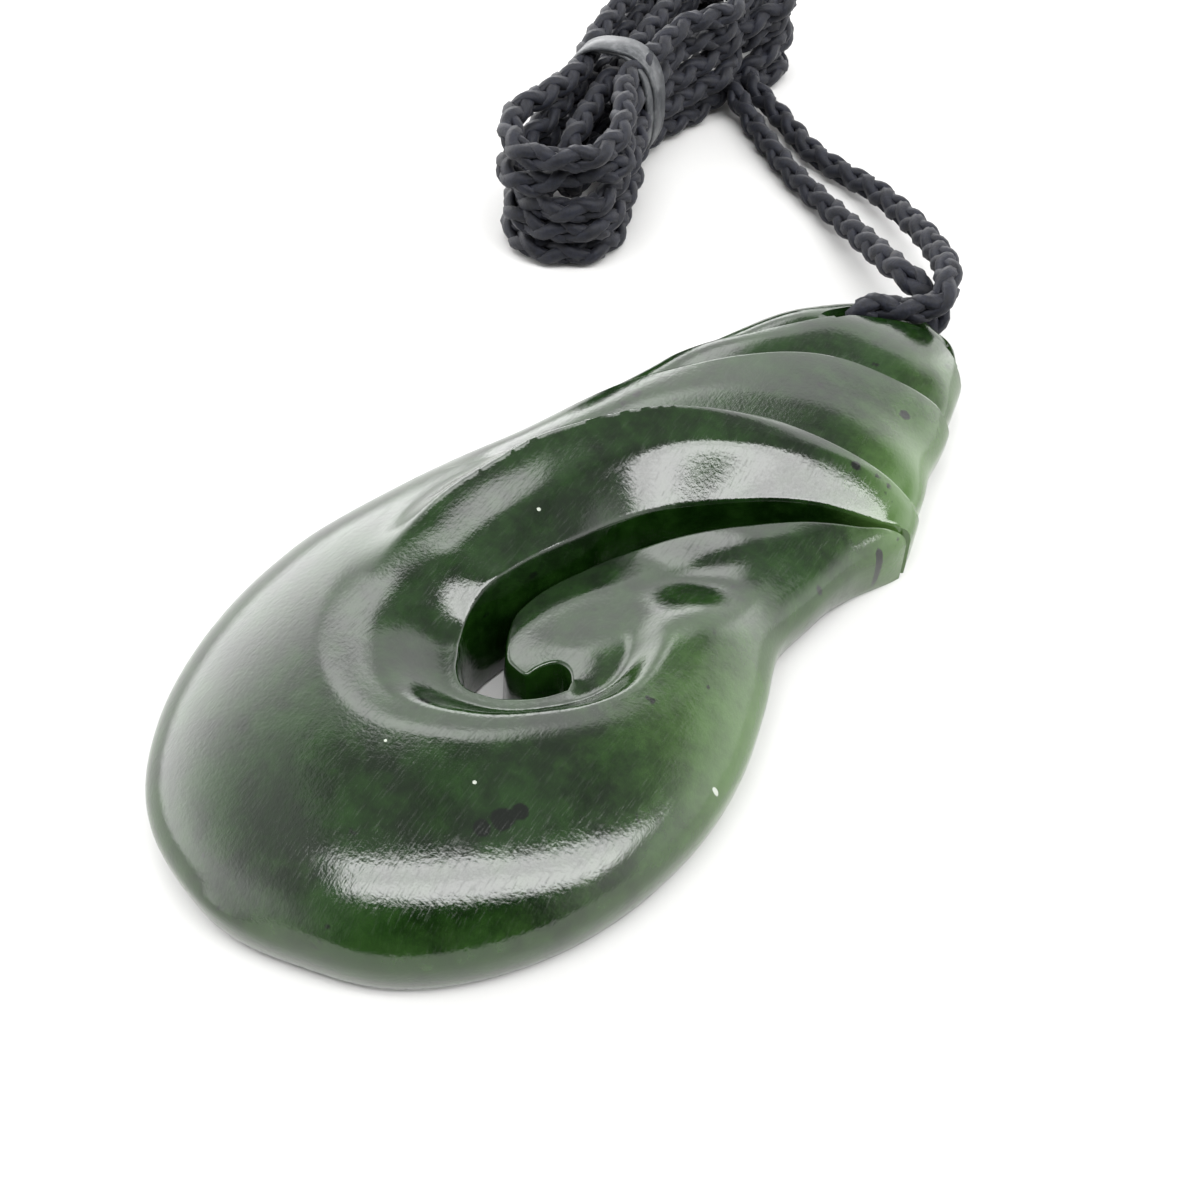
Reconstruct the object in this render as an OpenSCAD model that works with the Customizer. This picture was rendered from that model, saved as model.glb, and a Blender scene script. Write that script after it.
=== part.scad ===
// Greenstone fish hook pendant, lying on its flat back with its plaited neck cord in a banded hank.
// Plan: +Y runs from the round bulb to the cord hole, +Z out of the carved front, z = 0 is the back.

/* [Stone] */
// Length of the carved stone
stone_l = 74.4; // [70:0.1:80]
// Width of the carved stone
stone_w = 36.0; // [34:0.1:39]
// Thickness at the bulb
stone_t = 9.4; // [8:0.1:11]
// Height of the rim's edge
wall_top = 3.3; // [2.8:0.1:3.8]
// How far the rim's foot stands in from its edge
rim_inset = 1.3; // [0.6:0.1:1.6]

/* [Carving] */
// Lift of the spiral band's edge over the ridge beside it
band_lift = 0.55; // [0.2:0.05:0.8]
// Depth of the groove in front of each ridge
groove_depth = 0.7; // [0.3:0.05:1]
// Depth of the last groove, which the cord lies in
seat_depth = 1.4; // [0.6:0.05:1.5]
// Depth of the dish round the eye
dish_depth = 2.0; // [1:0.1:2.6]
// Fall of the band's round shoulder at the slit
shoulder_fall = 1.1; // [0.4:0.1:1.6]
// Fall of the limb towards its crest
crest_fall = 0.8; // [0.4:0.1:1.2]
// Slope of the bevel between the limb's crest and the slit
bevel_slope = 0.36; // [0.2:0.02:0.5]
// How far the ridges push the outline out and in
notch = 0.4; // [0:0.1:0.8]

/* [Cord hole] */
// Diameter of the drilled hole
hole_d = 3.1; // [3:0.1:3.6]

/* [Cord] */
// Diameter of the plaited cord
cord_d = 2.5; // [2:0.1:2.6]

/* [Hank] */
// Height of the hank
hank_h = 12.2; // [11:0.1:13]
// Width of the hank under its band
waist_w = 9.4; // [9:0.1:10.4]
// Radius of the lobe nearest the stone
near_r = 5.9; // [5.6:0.1:6.6]
// Radius of the far lobe
far_r = 7.8; // [7.4:0.1:8.4]

/* [Band] */
// Width of the rubber band
band_w = 5; // [4:0.1:6]
// Thickness of the rubber band, two turns
band_t = 0.8; // [0.6:0.1:1]

/* [Hidden] */
$fn = 48;

section_steps = 4;
column_count = 34;
tip_cut = 0.03;
tube_sides = 8;
slit_overrun = 2;

// Cross lines of the stone from the bulb's foot to the top: left x, left y, right x, right y, crest height
SECTIONS = [
    [-2.5, -35.6, -2.5, -35.6, 3.3],
    [-6.5, -34.8, 2.2, -34.9, 4.9],
    [-10.2, -33.2, 7.0, -33.4, 6.4],
    [-13.2, -30.6, 11.0, -30.4, 7.7],
    [-15.8, -26.6, 14.2, -26.2, 8.7],
    [-17.5, -22.1, 16.2, -21.6, 9.2],
    [-18.4, -17.5, 17.2, -17.0, 9.4],
    [-18.6, -13.2, 17.4, -13.4, 9.4],
    [-18.2, -9.0, 17.0, -9.4, 9.3],
    [-16.6, -3.2, 15.8, -4.8, 9.2],
    [-14.7, 2.2, 14.2, 0.2, 9.0],
    [-12.8, 6.8, 14.6, 4.6, 8.8],
    [-11.4, 11.0, 15.4, 9.0, 8.6],
    [-10.0, 15.2, 16.8, 13.4, 8.4],
    [-8.4, 19.4, 16.4, 17.6, 8.1],
    [-7.3, 23.3, 15.2, 21.6, 7.8],
    [-5.6, 27.3, 14.6, 25.6, 7.4],
    [-3.8, 31.2, 13.5, 29.8, 7.0],
    [-1.9, 34.4, 12.5, 33.6, 5.9],
    [0.6, 37.0, 10.6, 36.7, 5.0],
    [3.2, 38.4, 8.3, 38.1, 4.3],
    [6.0, 38.8, 6.0, 38.8, 3.3]];

// Middle of the eye, which the angles below are measured about
eye = [4, -8];

// Radii about the eye: first angle, step of the angle, radii
CREASE_3 = [60, 10, [27.9, 25.4, 23.75, 22.4, 20.85, 19.1, 17.75, 16.9, 16.5, 17.2, 18.5]];
BAND_EDGE = [60, 15, [26.8, 23.6, 21.1, 18.7, 16.5, 14.9, 13.7, 13.3, 13.2, 13.7, 14.2]];
CREASE_2 = [60, 10, [38.5, 36.9, 34.3, 32.7, 29.4, 26.5, 24.7, 23.3]];
CREASE_1 = [75, 5, [40.4, 42.3, 42.9, 40.2, 36.8, 33.9, 32.1, 30.6, 29.3, 28.2]];
DISH_RIM = [185, 20, [13.0, 14.4, 15.4, 14.8, 11.6, 9.0, 7.0, 6.0, 5.9, 6.3, 7.4, 10.0, 18.5]];
DISH_SLOPE = [185, 40, [6.0, 5.6, 2.6, 1.9, 2.6, 3.4, 4.0]];

// The slit's two lips and the limb's crest, from the stone's side to the slit's inner end: x, y
UPPER_LIP = [
    [19.4, 16.0], [17.2, 14.6], [15.0, 12.9], [13.4, 11.9], [11.2, 10.8], [8.8, 9.2], [6.6, 7.4],
    [4.6, 5.4], [2.7, 3.2], [1.1, 0.8], [-0.2, -2.2], [-1.3, -5.4], [-2.1, -8.6], [-2.4, -10.2],
    [-2.4, -11.8], [-1.9, -13.3], [-1.3, -14.3], [-0.7, -15.3], [0.2, -16.1], [1.1, -16.3],
    [2.1, -16.1], [3.0, -15.8], [4.4, -14.8], [5.3, -13.8], [5.9, -12.8]];
SLIT_EDGE = [
    [19.3, 15.5], [17.0, 13.8], [15.3, 12.4], [13.9, 11.0], [12.4, 9.9], [10.8, 8.9], [9.1, 7.6],
    [7.5, 6.1], [5.4, 4.2], [3.4, 2.2], [1.2, -0.6], [0.2, -2.8], [-0.4, -4.4], [-0.8, -6.1],
    [-0.9, -7.6], [-0.8, -9.0], [-0.2, -10.5], [0.4, -11.6], [1.2, -12.7], [2.0, -13.1], [3.1, -13.3],
    [3.4, -12.5], [4.0, -11.7], [4.7, -11.5], [5.4, -11.8], [5.9, -12.4]];
LIMB_CREST = [
    [19.4, 15.2], [17.1, 13.6], [15.2, 12.0], [13.4, 10.1], [11.5, 7.5], [9.5, 5.4], [8.5, 4.3],
    [6.8, 1.9], [5.1, -0.5], [3.6, -3.2], [2.0, -5.6], [1.1, -7.4], [0.6, -9.2], [0.5, -10.5],
    [0.9, -12.0], [1.4, -12.8]];
slit_steps = 2;
flat_bevel = [4.5, 1.5];

// Where the slit's far wall leans out towards the back: middle and radius above and below
lean_top = [-1.2, -9.6, 1.0];
lean_foot = [-1.9, -9.3, 1.7];

// Drilled hole: mouth on the front and mouth at the top end: x, y, z
hole_front = [3.4, 34.7, 4.8];
hole_end = [5.6, 38.6, 1.8];
hole_reach = 5;

// Hank: middle of its waist, its turn from +Y, its lobes' middles from there, and how far up the far lobe's
// flank each lead leaves it
hank_middle = [-32.2, 52];
hank_turn = 11.8;
near_lobe = [1, -14.8];
far_lobe = [3.8, 21.8];
lower_port = 0.55;
upper_port = 0.68;
port_z = 2.2;
band_corner = 3.2;

// Cord routes, centre points chosen by hand: x, y, z
LOWER_ROUTE = [
    [-22.6, 63.5, 1.3], [-18.2, 59.8, 1.3], [-14.2, 56.7, 1.3], [-8.4, 52.7, 1.7], [-3.2, 48.0, 3.1],
    [0.4, 44.3, 4.5]];
LOWER_END = [2.8, 41.9, 5.4];
BIGHT_ROUTE = [
    [4.1, 41.1, 5.5], [5.4, 40.8, 5.2], [6.5, 40.7, 4.4], [7.1, 40.6, 3.5], [7.2, 40.5, 2.6],
    [6.8, 40.1, 1.8], [6.1, 39.4, 1.6], [5.4, 38.3, 2.0], [4.8, 37.2, 2.9], [4.2, 36.1, 3.7],
    [3.6, 35.1, 4.5], [3.0, 34.2, 5.3], [2.9, 33.8, 6.0], [3.8, 34.2, 6.4], [4.9, 34.9, 6.4],
    [6.1, 35.5, 6.4], [7.3, 36.1, 6.5], [8.2, 37.1, 6.8], [8.3, 38.5, 7.2]];
UPPER_END = [7.7, 40.2, 7.2];
UPPER_ROUTE = [
    [6.6, 42.8, 6.5], [4.4, 46.4, 5.2], [1.2, 50.6, 3.9], [-2.8, 54.8, 2.6], [-6.8, 58.0, 1.8],
    [-11.2, 60.1, 1.3], [-15.6, 62.1, 1.3], [-20.2, 65.6, 1.3]];

// Numbers and curves

function clamp01(x) = min(1, max(0, x));
function ease(t) = let (s = clamp01(t)) s * s * (3 - 2 * s);
function ramp(from, to, x) = ease((x - from) / (to - from));
function unit(v) = v / norm(v);

// Smooth curve between a and b with slopes ma and mb; numbers or lists of numbers
function blend(a, b, ma, mb, t) =
    a * (1 + 2 * t) * pow(1 - t, 2) + ma * t * pow(1 - t, 2)
    + b * t * t * (3 - 2 * t) + mb * t * t * (t - 1);

function slope(list, i) =
    list[min(i + 1, len(list) - 1)] / 2 - list[max(i - 1, 0)] / 2;

// Value of a list at a whole or broken index
function at(list, k) =
    let (i = min(max(floor(k), 0), len(list) - 2), t = min(max(k - i, 0), 1))
    blend(list[i], list[i + 1], slope(list, i), slope(list, i + 1), t);

// Radius of a spiral line at an angle
function radius(line, angle) = at(line[2], (angle - line[0]) / line[1]);

// A line of points with more points between them
function refine(line, steps) =
    [for (i = [0:len(line) - 2]) for (j = [0:steps - 1]) at(line, i + j / steps), line[len(line) - 1]];

function gap_to_edge(p, a, b) = let (d = b - a) norm(p - a - d * clamp01((p - a) * d / (d * d)));

// Distance from a line, more than 0 on its left
function gap_to_line(p, line) =
    let (gaps = [for (i = [0:len(line) - 2]) gap_to_edge(p, line[i], line[i + 1])], gap = min(gaps),
         i = search(gap, gaps)[0], d = line[i + 1] - line[i], v = p - line[i])
    d.x * v.y - d.y * v.x > 0 ? gap : -gap;

// Stone

last_row = len(SECTIONS) - 1;

// Slopes at the two tips run across the stone, so the outline is round there
function tip_slope(row) =
    let (half = [row[0] - row[2], row[1] - row[3]] / 2) [half.x, half.y, -half.x, -half.y, 0];
function row_slope(i) =
    i == 0 ? tip_slope(SECTIONS[1]) + [0, 0, 0, 0, 2 * (SECTIONS[1][4] - SECTIONS[0][4])]
    : i == last_row ? -tip_slope(SECTIONS[i - 1]) - [0, 0, 0, 0, 2 * (SECTIONS[i - 1][4] - SECTIONS[i][4])]
    : slope(SECTIONS, i);
function row_at(k) =
    let (i = min(floor(k), last_row - 1))
    blend(SECTIONS[i], SECTIONS[i + 1], row_slope(i), row_slope(i + 1), k - i);

// Step over a crease: lifted on the bulb's side, grooved on the top's side
function step_over(d, lift, lift_w, groove, groove_w) =
    let (inside = lift * exp(-pow(max(d, 0) / lift_w, 2)),
         outside = -groove * exp(-pow(min(d, 0) / groove_w, 2)))
    outside + (inside - outside) * ramp(-0.7, 0.7, d);

function ridges(a, r) =
    step_over(radius(CREASE_3, a) - r, band_lift * 0.8, 5, groove_depth, 2.6) * ramp(158, 132, a)
    + step_over(radius(CREASE_2, a) - r, 0.35, 4, groove_depth, 2.4) * ramp(130, 112, a)
    + step_over(radius(CREASE_1, a) - r, 0.4, 4, seat_depth, 2.6) * ramp(125, 108, a);

// The band's raised edge, and its hollow between that edge and the slit
function band_form(a, r, lip) =
    let (edge = radius(BAND_EDGE, a) - r)
    band_lift * exp(-pow(abs(edge) / 1.3, 1.2)) * ramp(92, 110, a) * ramp(204, 172, a)
    - (edge <= 0 || a > 200 ? 0 : 0.5 * sin(180 * lip / (lip + edge)) * ramp(195, 145, a));

// Depth of the dish round the eye, for either side of the slit
function dish_at(turn, r) = dish_depth * ease((radius(DISH_RIM, turn) - r) / radius(DISH_SLOPE, turn));
function dish(a, r, inner) =
    let (turn = a < 70 ? a + 360 : a)
    inner ? (turn < 185 ? dish_depth : dish_at(turn, r)) * (1 - 0.5 * ramp(8, 15, r))
    : turn < 185 ? 0 : dish_at(turn, r) * ramp(185, 225, turn) * (1 - 0.5 * ramp(395, 425, turn));

upper_lip = refine(UPPER_LIP, slit_steps);
slit_edge = refine(SLIT_EDGE, slit_steps);
limb_crest = refine(LIMB_CREST, slit_steps);

// Carving on the band's side of the slit, and on the hook's side
function band_side(a, r, up) =
    (a > 55 && a < 205 ? ridges(a, r) + band_form(a, r, max(up, 0)) : 0) - dish(a, r, false)
    - shoulder_fall * pow(1 - clamp01(up / 2.6), 2) * (1 - 0.6 * ramp(190, 240, a));
function hook_side(p, a, r) =
    let (beyond = -gap_to_line(p, limb_crest), flatter = exp(-pow(norm(p - flat_bevel) / 5, 2)),
         bevel = bevel_slope * (1 - 0.45 * flatter) * (beyond + sqrt(beyond * beyond + 0.09)) / 2)
    -dish(a, r, true) - bevel
    - crest_fall * (1 - ease(max(-beyond, 0) / 6.5)) * (1 - 0.6 * ramp(7, 14, r));

// Inside the slit one side runs over into the other
function relief(p, a, r) =
    let (up = -gap_to_line(p, upper_lip), low = gap_to_line(p, slit_edge),
         part = up < 0 && low < 0 ? up / (up + low) : abs(low) < abs(up) ? 1 : 0)
    (part < 1 ? (1 - part) * band_side(a, r, up) : 0) + (part > 0 ? part * hook_side(p, a, r) : 0);

// Angle and radius of a point about the eye
function polar(p) = let (v = p - eye, a = atan2(v.y, v.x)) [a < 0 ? a + 360 : a, norm(v)];

// How far the ridges push a point on a cross line to the right
function push(p, u, width) =
    let (q = polar(p), gap = min(u, 1 - u) * width)
    q[0] < 55 || q[0] > 160 ? 0 : sign(u - 0.5) * notch * ridges(q[0], q[1]) * exp(-gap / 1.5);

// Height of the front at a row and at u from the left side, 0, to the right, 1
function front_z(row, u) =
    let (across = [row[2] - row[0], row[3] - row[1]], p = [row[0], row[1]] + u * across, q = polar(p),
         v = abs(2 * u - 1), dome = (row[4] - wall_top) * sqrt(max(0, 1 - pow(v, 2.3))),
         moved = p + push(p, u, norm(across)) * unit(across))
    concat(moved, max(wall_top, wall_top + dome + relief(p, q[0], q[1]) * clamp01((1 - v) * 8)));

// Columns stand closer together near the sides
function column_u(j) = let (t = j / column_count) 0.4 * t + 0.6 * (1 - cos(180 * t)) / 2;

// Ring of one cross line: over the front from left to right, down the wall and back under the stone
function stone_ring(k) =
    let (row = row_at(k), front = [for (j = [0:column_count]) front_z(row, column_u(j))],
         left = [front[0].x, front[0].y], right = [front[column_count].x, front[column_count].y],
         across = right - left, by_hole = clamp01(norm(right - [hole_end.x, hole_end.y]) / 6),
         inset = min(rim_inset * max(by_hole, 0.3), norm(across) / 4) * unit(across))
    concat(front,
        [concat(right - 0.15 * inset, 1.8), concat(right - 0.65 * inset, 0.35), concat(right - inset, 0),
         concat(left + inset, 0), concat(left + 0.65 * inset, 0.35), concat(left + 0.15 * inset, 1.8)]);

// Closed solid through rings of equal length
module skin(rings) {
    n = len(rings[0]);
    m = len(rings);
    points = [for (ring = rings) each ring];
    sides = [for (i = [0:m - 2]) for (j = [0:n - 1]) each let (a = i * n + j, b = i * n + (j + 1) % n)
        [[a, b + n, b], [a, a + n, b + n]]];
    polyhedron(points, concat(sides, [[for (j = [0:n - 1]) j]], [[for (j = [n - 1:-1:0]) (m - 1) * n + j]]));
}

row_count = last_row * section_steps;
stone_rows = [for (i = [0:row_count]) min(max(i / section_steps, tip_cut), last_row - tip_cut)];
side_rows = [for (k = stone_rows) row_at(k)];
stone_middle = [
    min([for (row = side_rows) row[0]]) + max([for (row = side_rows) row[2]]),
    side_rows[0][1] + side_rows[row_count][1]] / 2;

module slit() {
    translate([0, 0, -slit_overrun]) linear_extrude(stone_t + 2 * slit_overrun)
        polygon(concat(upper_lip, [for (i = [len(slit_edge) - 1:-1:0]) slit_edge[i]]));
    hull() {
        translate([lean_top.x, lean_top.y, stone_t]) cylinder(h = 1, r = lean_top.z, $fn = 12);
        translate([lean_foot.x, lean_foot.y, -1]) cylinder(h = 1, r = lean_foot.z, $fn = 12);
    }
}

module cord_hole() {
    axis = hole_end - hole_front;
    lean = acos(axis.z / norm(axis));
    translate(hole_front - unit(axis) * hole_reach) rotate([0, lean, atan2(axis.y, axis.x)])
        cylinder(h = norm(axis) + 2 * hole_reach, d = hole_d, $fn = 20);
}

module greenstone_hook() color([0.16, 0.33, 0.19])
    resize([stone_w, stone_l, stone_t]) translate([-stone_middle.x, -stone_middle.y, 0]) difference() {
        skin([for (k = stone_rows) stone_ring(k)]);
        slit();
        cord_hole();
    }

// Cord

function turned(p, angle) = [p.x * cos(angle) - p.y * sin(angle), p.x * sin(angle) + p.y * cos(angle)];

// The far lobe's flank, the way straight out of it, and the points where the leads start
flank_foot = [waist_w, band_w] / 2;
flank_head = far_lobe + [far_r, 0];
flank = flank_head - flank_foot;
port_way = concat(turned(unit([flank.y, -flank.x]), hank_turn), 0);
function port(share) = concat(hank_middle + turned(flank_foot + share * flank, hank_turn), port_z);

ROUTE = concat([port(lower_port)], LOWER_ROUTE, [LOWER_END], BIGHT_ROUTE, [UPPER_END], UPPER_ROUTE,
    [port(upper_port)]);
lower_last = len(LOWER_ROUTE) + 1;
bight_last = lower_last + len(BIGHT_ROUTE) + 1;
route_last = len(ROUTE) - 1;

function way(i) =
    i == 0 ? port_way : i == route_last ? -port_way : unit(ROUTE[i + 1] - ROUTE[i - 1]);
function carried(from, to, side) =
    from > to ? []
    : let (d = way(from), s = unit(side - d * (side * d))) concat([s], carried(from + 1, to, s));

// Tube along the route's points from one index to another
module tube(from, to) {
    sides = carried(from, to, cross(way(from), [0, 0.1, 1]));
    skin([for (i = [from:to]) let (s = sides[i - from], t = cross(way(i), s))
        [for (j = [0:tube_sides - 1]) let (a = 360 * j / tube_sides)
            ROUTE[i] + cord_d / 2 * (cos(a) * s + sin(a) * t) - concat(stone_middle, 0)]]);
}

module cord_lead_lower() color([0.1, 0.1, 0.13]) tube(0, lower_last);
module cord_bight() color([0.1, 0.1, 0.13]) tube(lower_last, bight_last);
module cord_lead_upper() color([0.1, 0.1, 0.13]) tube(bight_last, route_last);

// Hank and band, in the hank's own frame along +Y

module in_hank_place() {
    translate(hank_middle - stone_middle) rotate(hank_turn) children();
}

module round_box(w, low, high, corner) {
    for (s = [-1, 1]) for (y = [low + corner, high - corner])
        translate([s * (w / 2 - corner), y]) circle(corner);
    translate([-w / 2, low + corner]) square([w, high - low - 2 * corner]);
    translate([corner - w / 2, low]) square([w - 2 * corner, high - low]);
}

// Slab across the waist with its faces set in from the band's outside
module waist_slab(inset) {
    translate([0, band_w / 2, 0]) rotate([90, 0, 0]) linear_extrude(band_w)
        round_box(waist_w - 2 * inset, inset, hank_h - inset, band_corner - inset);
}

module hank_outline() {
    translate(near_lobe) circle(near_r);
    translate(far_lobe) circle(far_r);
    half = waist_w / 2;
    ends = band_w / 2;
    polygon([near_lobe + [near_r, 0], [half, -ends], [half, ends], far_lobe + [far_r, 0],
        far_lobe - [far_r, 0], [-half, ends], [-half, -ends], near_lobe - [near_r, 0]]);
}

module cord_hank() color([0.12, 0.12, 0.15]) in_hank_place() {
    linear_extrude(hank_h) difference() {
        hank_outline();
        square([2 * waist_w, band_w], center = true);
    }
    waist_slab(band_t);
}

module hank_band() color([0.22, 0.22, 0.24]) in_hank_place() difference() {
    waist_slab(0);
    waist_slab(band_t);
}

greenstone_hook();
cord_bight();
cord_lead_upper();
cord_lead_lower();
cord_hank();
hank_band();
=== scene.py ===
"""Greenstone fish hook pendant on its plaited neck cord: the looks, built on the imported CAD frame."""

import logging
import math
from dataclasses import dataclass
from enum import Enum

import bpy
import numpy as np
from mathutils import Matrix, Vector
from mathutils.geometry import delaunay_2d_cdt


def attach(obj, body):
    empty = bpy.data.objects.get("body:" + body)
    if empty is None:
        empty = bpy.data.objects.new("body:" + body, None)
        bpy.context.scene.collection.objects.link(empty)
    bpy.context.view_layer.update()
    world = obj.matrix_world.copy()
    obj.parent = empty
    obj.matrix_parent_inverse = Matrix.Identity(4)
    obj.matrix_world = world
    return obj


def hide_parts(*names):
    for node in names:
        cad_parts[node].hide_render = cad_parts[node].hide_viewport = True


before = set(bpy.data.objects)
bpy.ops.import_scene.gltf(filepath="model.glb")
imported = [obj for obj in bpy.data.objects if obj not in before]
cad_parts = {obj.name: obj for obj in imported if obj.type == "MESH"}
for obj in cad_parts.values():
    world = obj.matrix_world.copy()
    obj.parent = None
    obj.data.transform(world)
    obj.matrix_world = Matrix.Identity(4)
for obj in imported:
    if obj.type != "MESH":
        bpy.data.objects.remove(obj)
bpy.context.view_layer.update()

MM = 0.001
TINY = 1e-6
UP = np.array([0.0, 0.0, 1.0])
Points = np.ndarray
Pair = tuple[float, float]
Triple = tuple[float, float, float]


class Slot(Enum):
    """The names of the three materials."""

    NEPHRITE = "nephrite"
    CORD = "plaited_cord"
    RUBBER = "rubber_band"


# Numbers and curves


def ease(t: Points | float) -> Points:
    """Smooth step from 0 to 1."""
    s = np.clip(t, 0.0, 1.0)
    return s * s * (3.0 - 2.0 * s)


def ramp(start: float, end: float, x: Points) -> Points:
    """Smooth step from 0 at start to 1 at end."""
    return ease((np.asarray(x, float) - start) / (end - start))


def between(first: Pair, last: Pair, x: Points) -> Points:
    """Smooth mask between two pairs of places, each the place of 0 and the place of 1."""
    return ramp(*first, x) * ramp(*last, x)


def bell(gap: Points, width: float) -> Points:
    """Bell curve that is 1 at no gap and falls off over a width."""
    return np.exp(-((gap / width) ** 2))


def closeness(points: Points, place: Pair, reach: float) -> Points:
    """Bell curve round a place of the plan."""
    return np.exp(-((points - np.array(place)) ** 2).sum(axis=1) / reach**2)


def unit(v: Points) -> Points:
    """A vector made one long."""
    return v / np.linalg.norm(v)


def circle(count: int) -> Points:
    """Angles evenly round a circle."""
    return np.linspace(0.0, 2.0 * np.pi, count, endpoint=False)


def at(table: Points | tuple, k: Points, slopes: Points | None = None) -> Points:
    """Reads a table of numbers or points on a smooth curve through its rows.

    Args:
        table: The rows.
        k: Whole or broken row indices.
        slopes: The curve's slope at each row, if not half the way from the row before to the one after.

    Returns:
        One value or point for each index.
    """
    table = np.asarray(table, float)
    last = len(table) - 1
    if slopes is None:
        i = np.arange(last + 1)
        slopes = (table[np.minimum(i + 1, last)] - table[np.maximum(i - 1, 0)]) / 2.0
    k = np.asarray(k, float)
    low = np.clip(np.floor(k).astype(int), 0, last - 1)
    t = np.clip(k - low, 0.0, 1.0)
    if table.ndim > 1:
        t = t[..., None]
    near, far = table[low], table[low + 1]
    rest = (1.0 - t) ** 2
    return (
        near * (1.0 + 2.0 * t) * rest
        + slopes[low] * t * rest
        + far * t * t * (3.0 - 2.0 * t)
        + slopes[low + 1] * t * t * (t - 1.0)
    )


def refine(line: Points | tuple, steps: int) -> Points:
    """A line of points on its smooth curve, with each stretch cut into that many steps."""
    return at(line, np.linspace(0, len(line) - 1, (len(line) - 1) * steps + 1))


def evenly(line: Points, step: float) -> Points:
    """Points along a line, about one step apart.

    Args:
        line: Corner points of the line.
        step: The wanted spacing.

    Returns:
        The new points, with the line's own ends.
    """
    along = np.concatenate([[0.0], np.cumsum(np.linalg.norm(np.diff(line, axis=0), axis=1))])
    places = np.linspace(0.0, along[-1], max(2, math.ceil(along[-1] / step) + 1))
    return np.stack([np.interp(places, along, line[:, k]) for k in range(line.shape[1])], axis=1)


def looped(line: Points) -> Points:
    """A loop's points with the first one once more at the end."""
    return np.vstack([line, line[:1]])


def line_gap(points: Points, line: Points) -> tuple[Points, Points]:
    """Distance of points from a line.

    Args:
        points: Points in the plan.
        line: The line's corner points.

    Returns:
        The distances, and True where a point is on the line's left.
    """
    best = np.full(len(points), np.inf)
    left = np.zeros(len(points), bool)
    for a, b in zip(line[:-1], line[1:]):
        d = b - a
        v = points - a
        t = np.clip(v @ d / (d @ d), 0.0, 1.0)
        gap = np.hypot(v[:, 0] - t * d[0], v[:, 1] - t * d[1])
        nearer = gap < best
        best = np.where(nearer, gap, best)
        left = np.where(nearer, d[0] * v[:, 1] - d[1] * v[:, 0] > 0.0, left)
    return best, left


def inside(points: Points, loop: Points) -> Points:
    """Finds the points that lie in a closed loop.

    Args:
        points: Points in the plan.
        loop: The loop's corners.

    Returns:
        True for each point inside.
    """
    odd = np.zeros(len(points), bool)
    x, y = points[:, 0], points[:, 1]
    for a, b in zip(loop, np.roll(loop, -1, axis=0)):
        if a[1] == b[1]:
            continue
        crosses = (a[1] > y) != (b[1] > y)
        odd ^= crosses & (x < a[0] + (y - a[1]) * (b[0] - a[0]) / (b[1] - a[1]))
    return odd


def beside(line: Points, gap: float, closed: bool = False) -> Points:
    """Moves a line sideways.

    Args:
        line: The line's points.
        gap: How far it moves to its left.
        closed: Whether it is a loop.

    Returns:
        The moved points.
    """
    if closed:
        way = np.roll(line, -1, axis=0) - np.roll(line, 1, axis=0)
    else:
        way = np.gradient(line, axis=0)
    way = way / np.maximum(np.linalg.norm(way, axis=1, keepdims=True), 1e-9)
    return line + gap * np.stack([-way[:, 1], way[:, 0]], axis=1)


def turned(p: Points, degrees: float) -> Points:
    """Turns points of the plan about the origin.

    Args:
        p: The points.
        degrees: The angle, to the left.

    Returns:
        The turned points.
    """
    c, s = math.cos(math.radians(degrees)), math.sin(math.radians(degrees))
    p = np.asarray(p, float)
    return np.stack([p[..., 0] * c - p[..., 1] * s, p[..., 0] * s + p[..., 1] * c], axis=-1)


# Shader nodes


class Value:
    """A socket of a shader, on which expressions add Math nodes."""

    def __init__(self, nodes: "Nodes", socket: bpy.types.NodeSocket) -> None:
        """Wraps one output socket."""
        self.nodes = nodes
        self.socket = socket

    def __add__(self, other: "Value | float") -> "Value":
        """Sum."""
        return self.nodes.maths("ADD", self, other)

    def __sub__(self, other: "Value | float") -> "Value":
        """Difference."""
        return self.nodes.maths("SUBTRACT", self, other)

    def __rsub__(self, other: float) -> "Value":
        """Difference from a number."""
        return self.nodes.maths("SUBTRACT", other, self)

    def __mul__(self, other: "Value | float") -> "Value":
        """Product."""
        return self.nodes.maths("MULTIPLY", self, other)

    def __truediv__(self, other: "Value | float") -> "Value":
        """Quotient."""
        return self.nodes.maths("DIVIDE", self, other)

    def __rtruediv__(self, other: float) -> "Value":
        """A number divided by the value."""
        return self.nodes.maths("DIVIDE", other, self)

    __radd__ = __add__
    __rmul__ = __mul__

    def above(self, low: float, high: float) -> "Value":
        """Smooth step from 0 at low to 1 at high."""
        inputs = {"Value": self, "From Min": low, "From Max": high}
        return self.nodes.value("ShaderNodeMapRange", {"interpolation_type": "SMOOTHSTEP"}, inputs)


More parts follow.
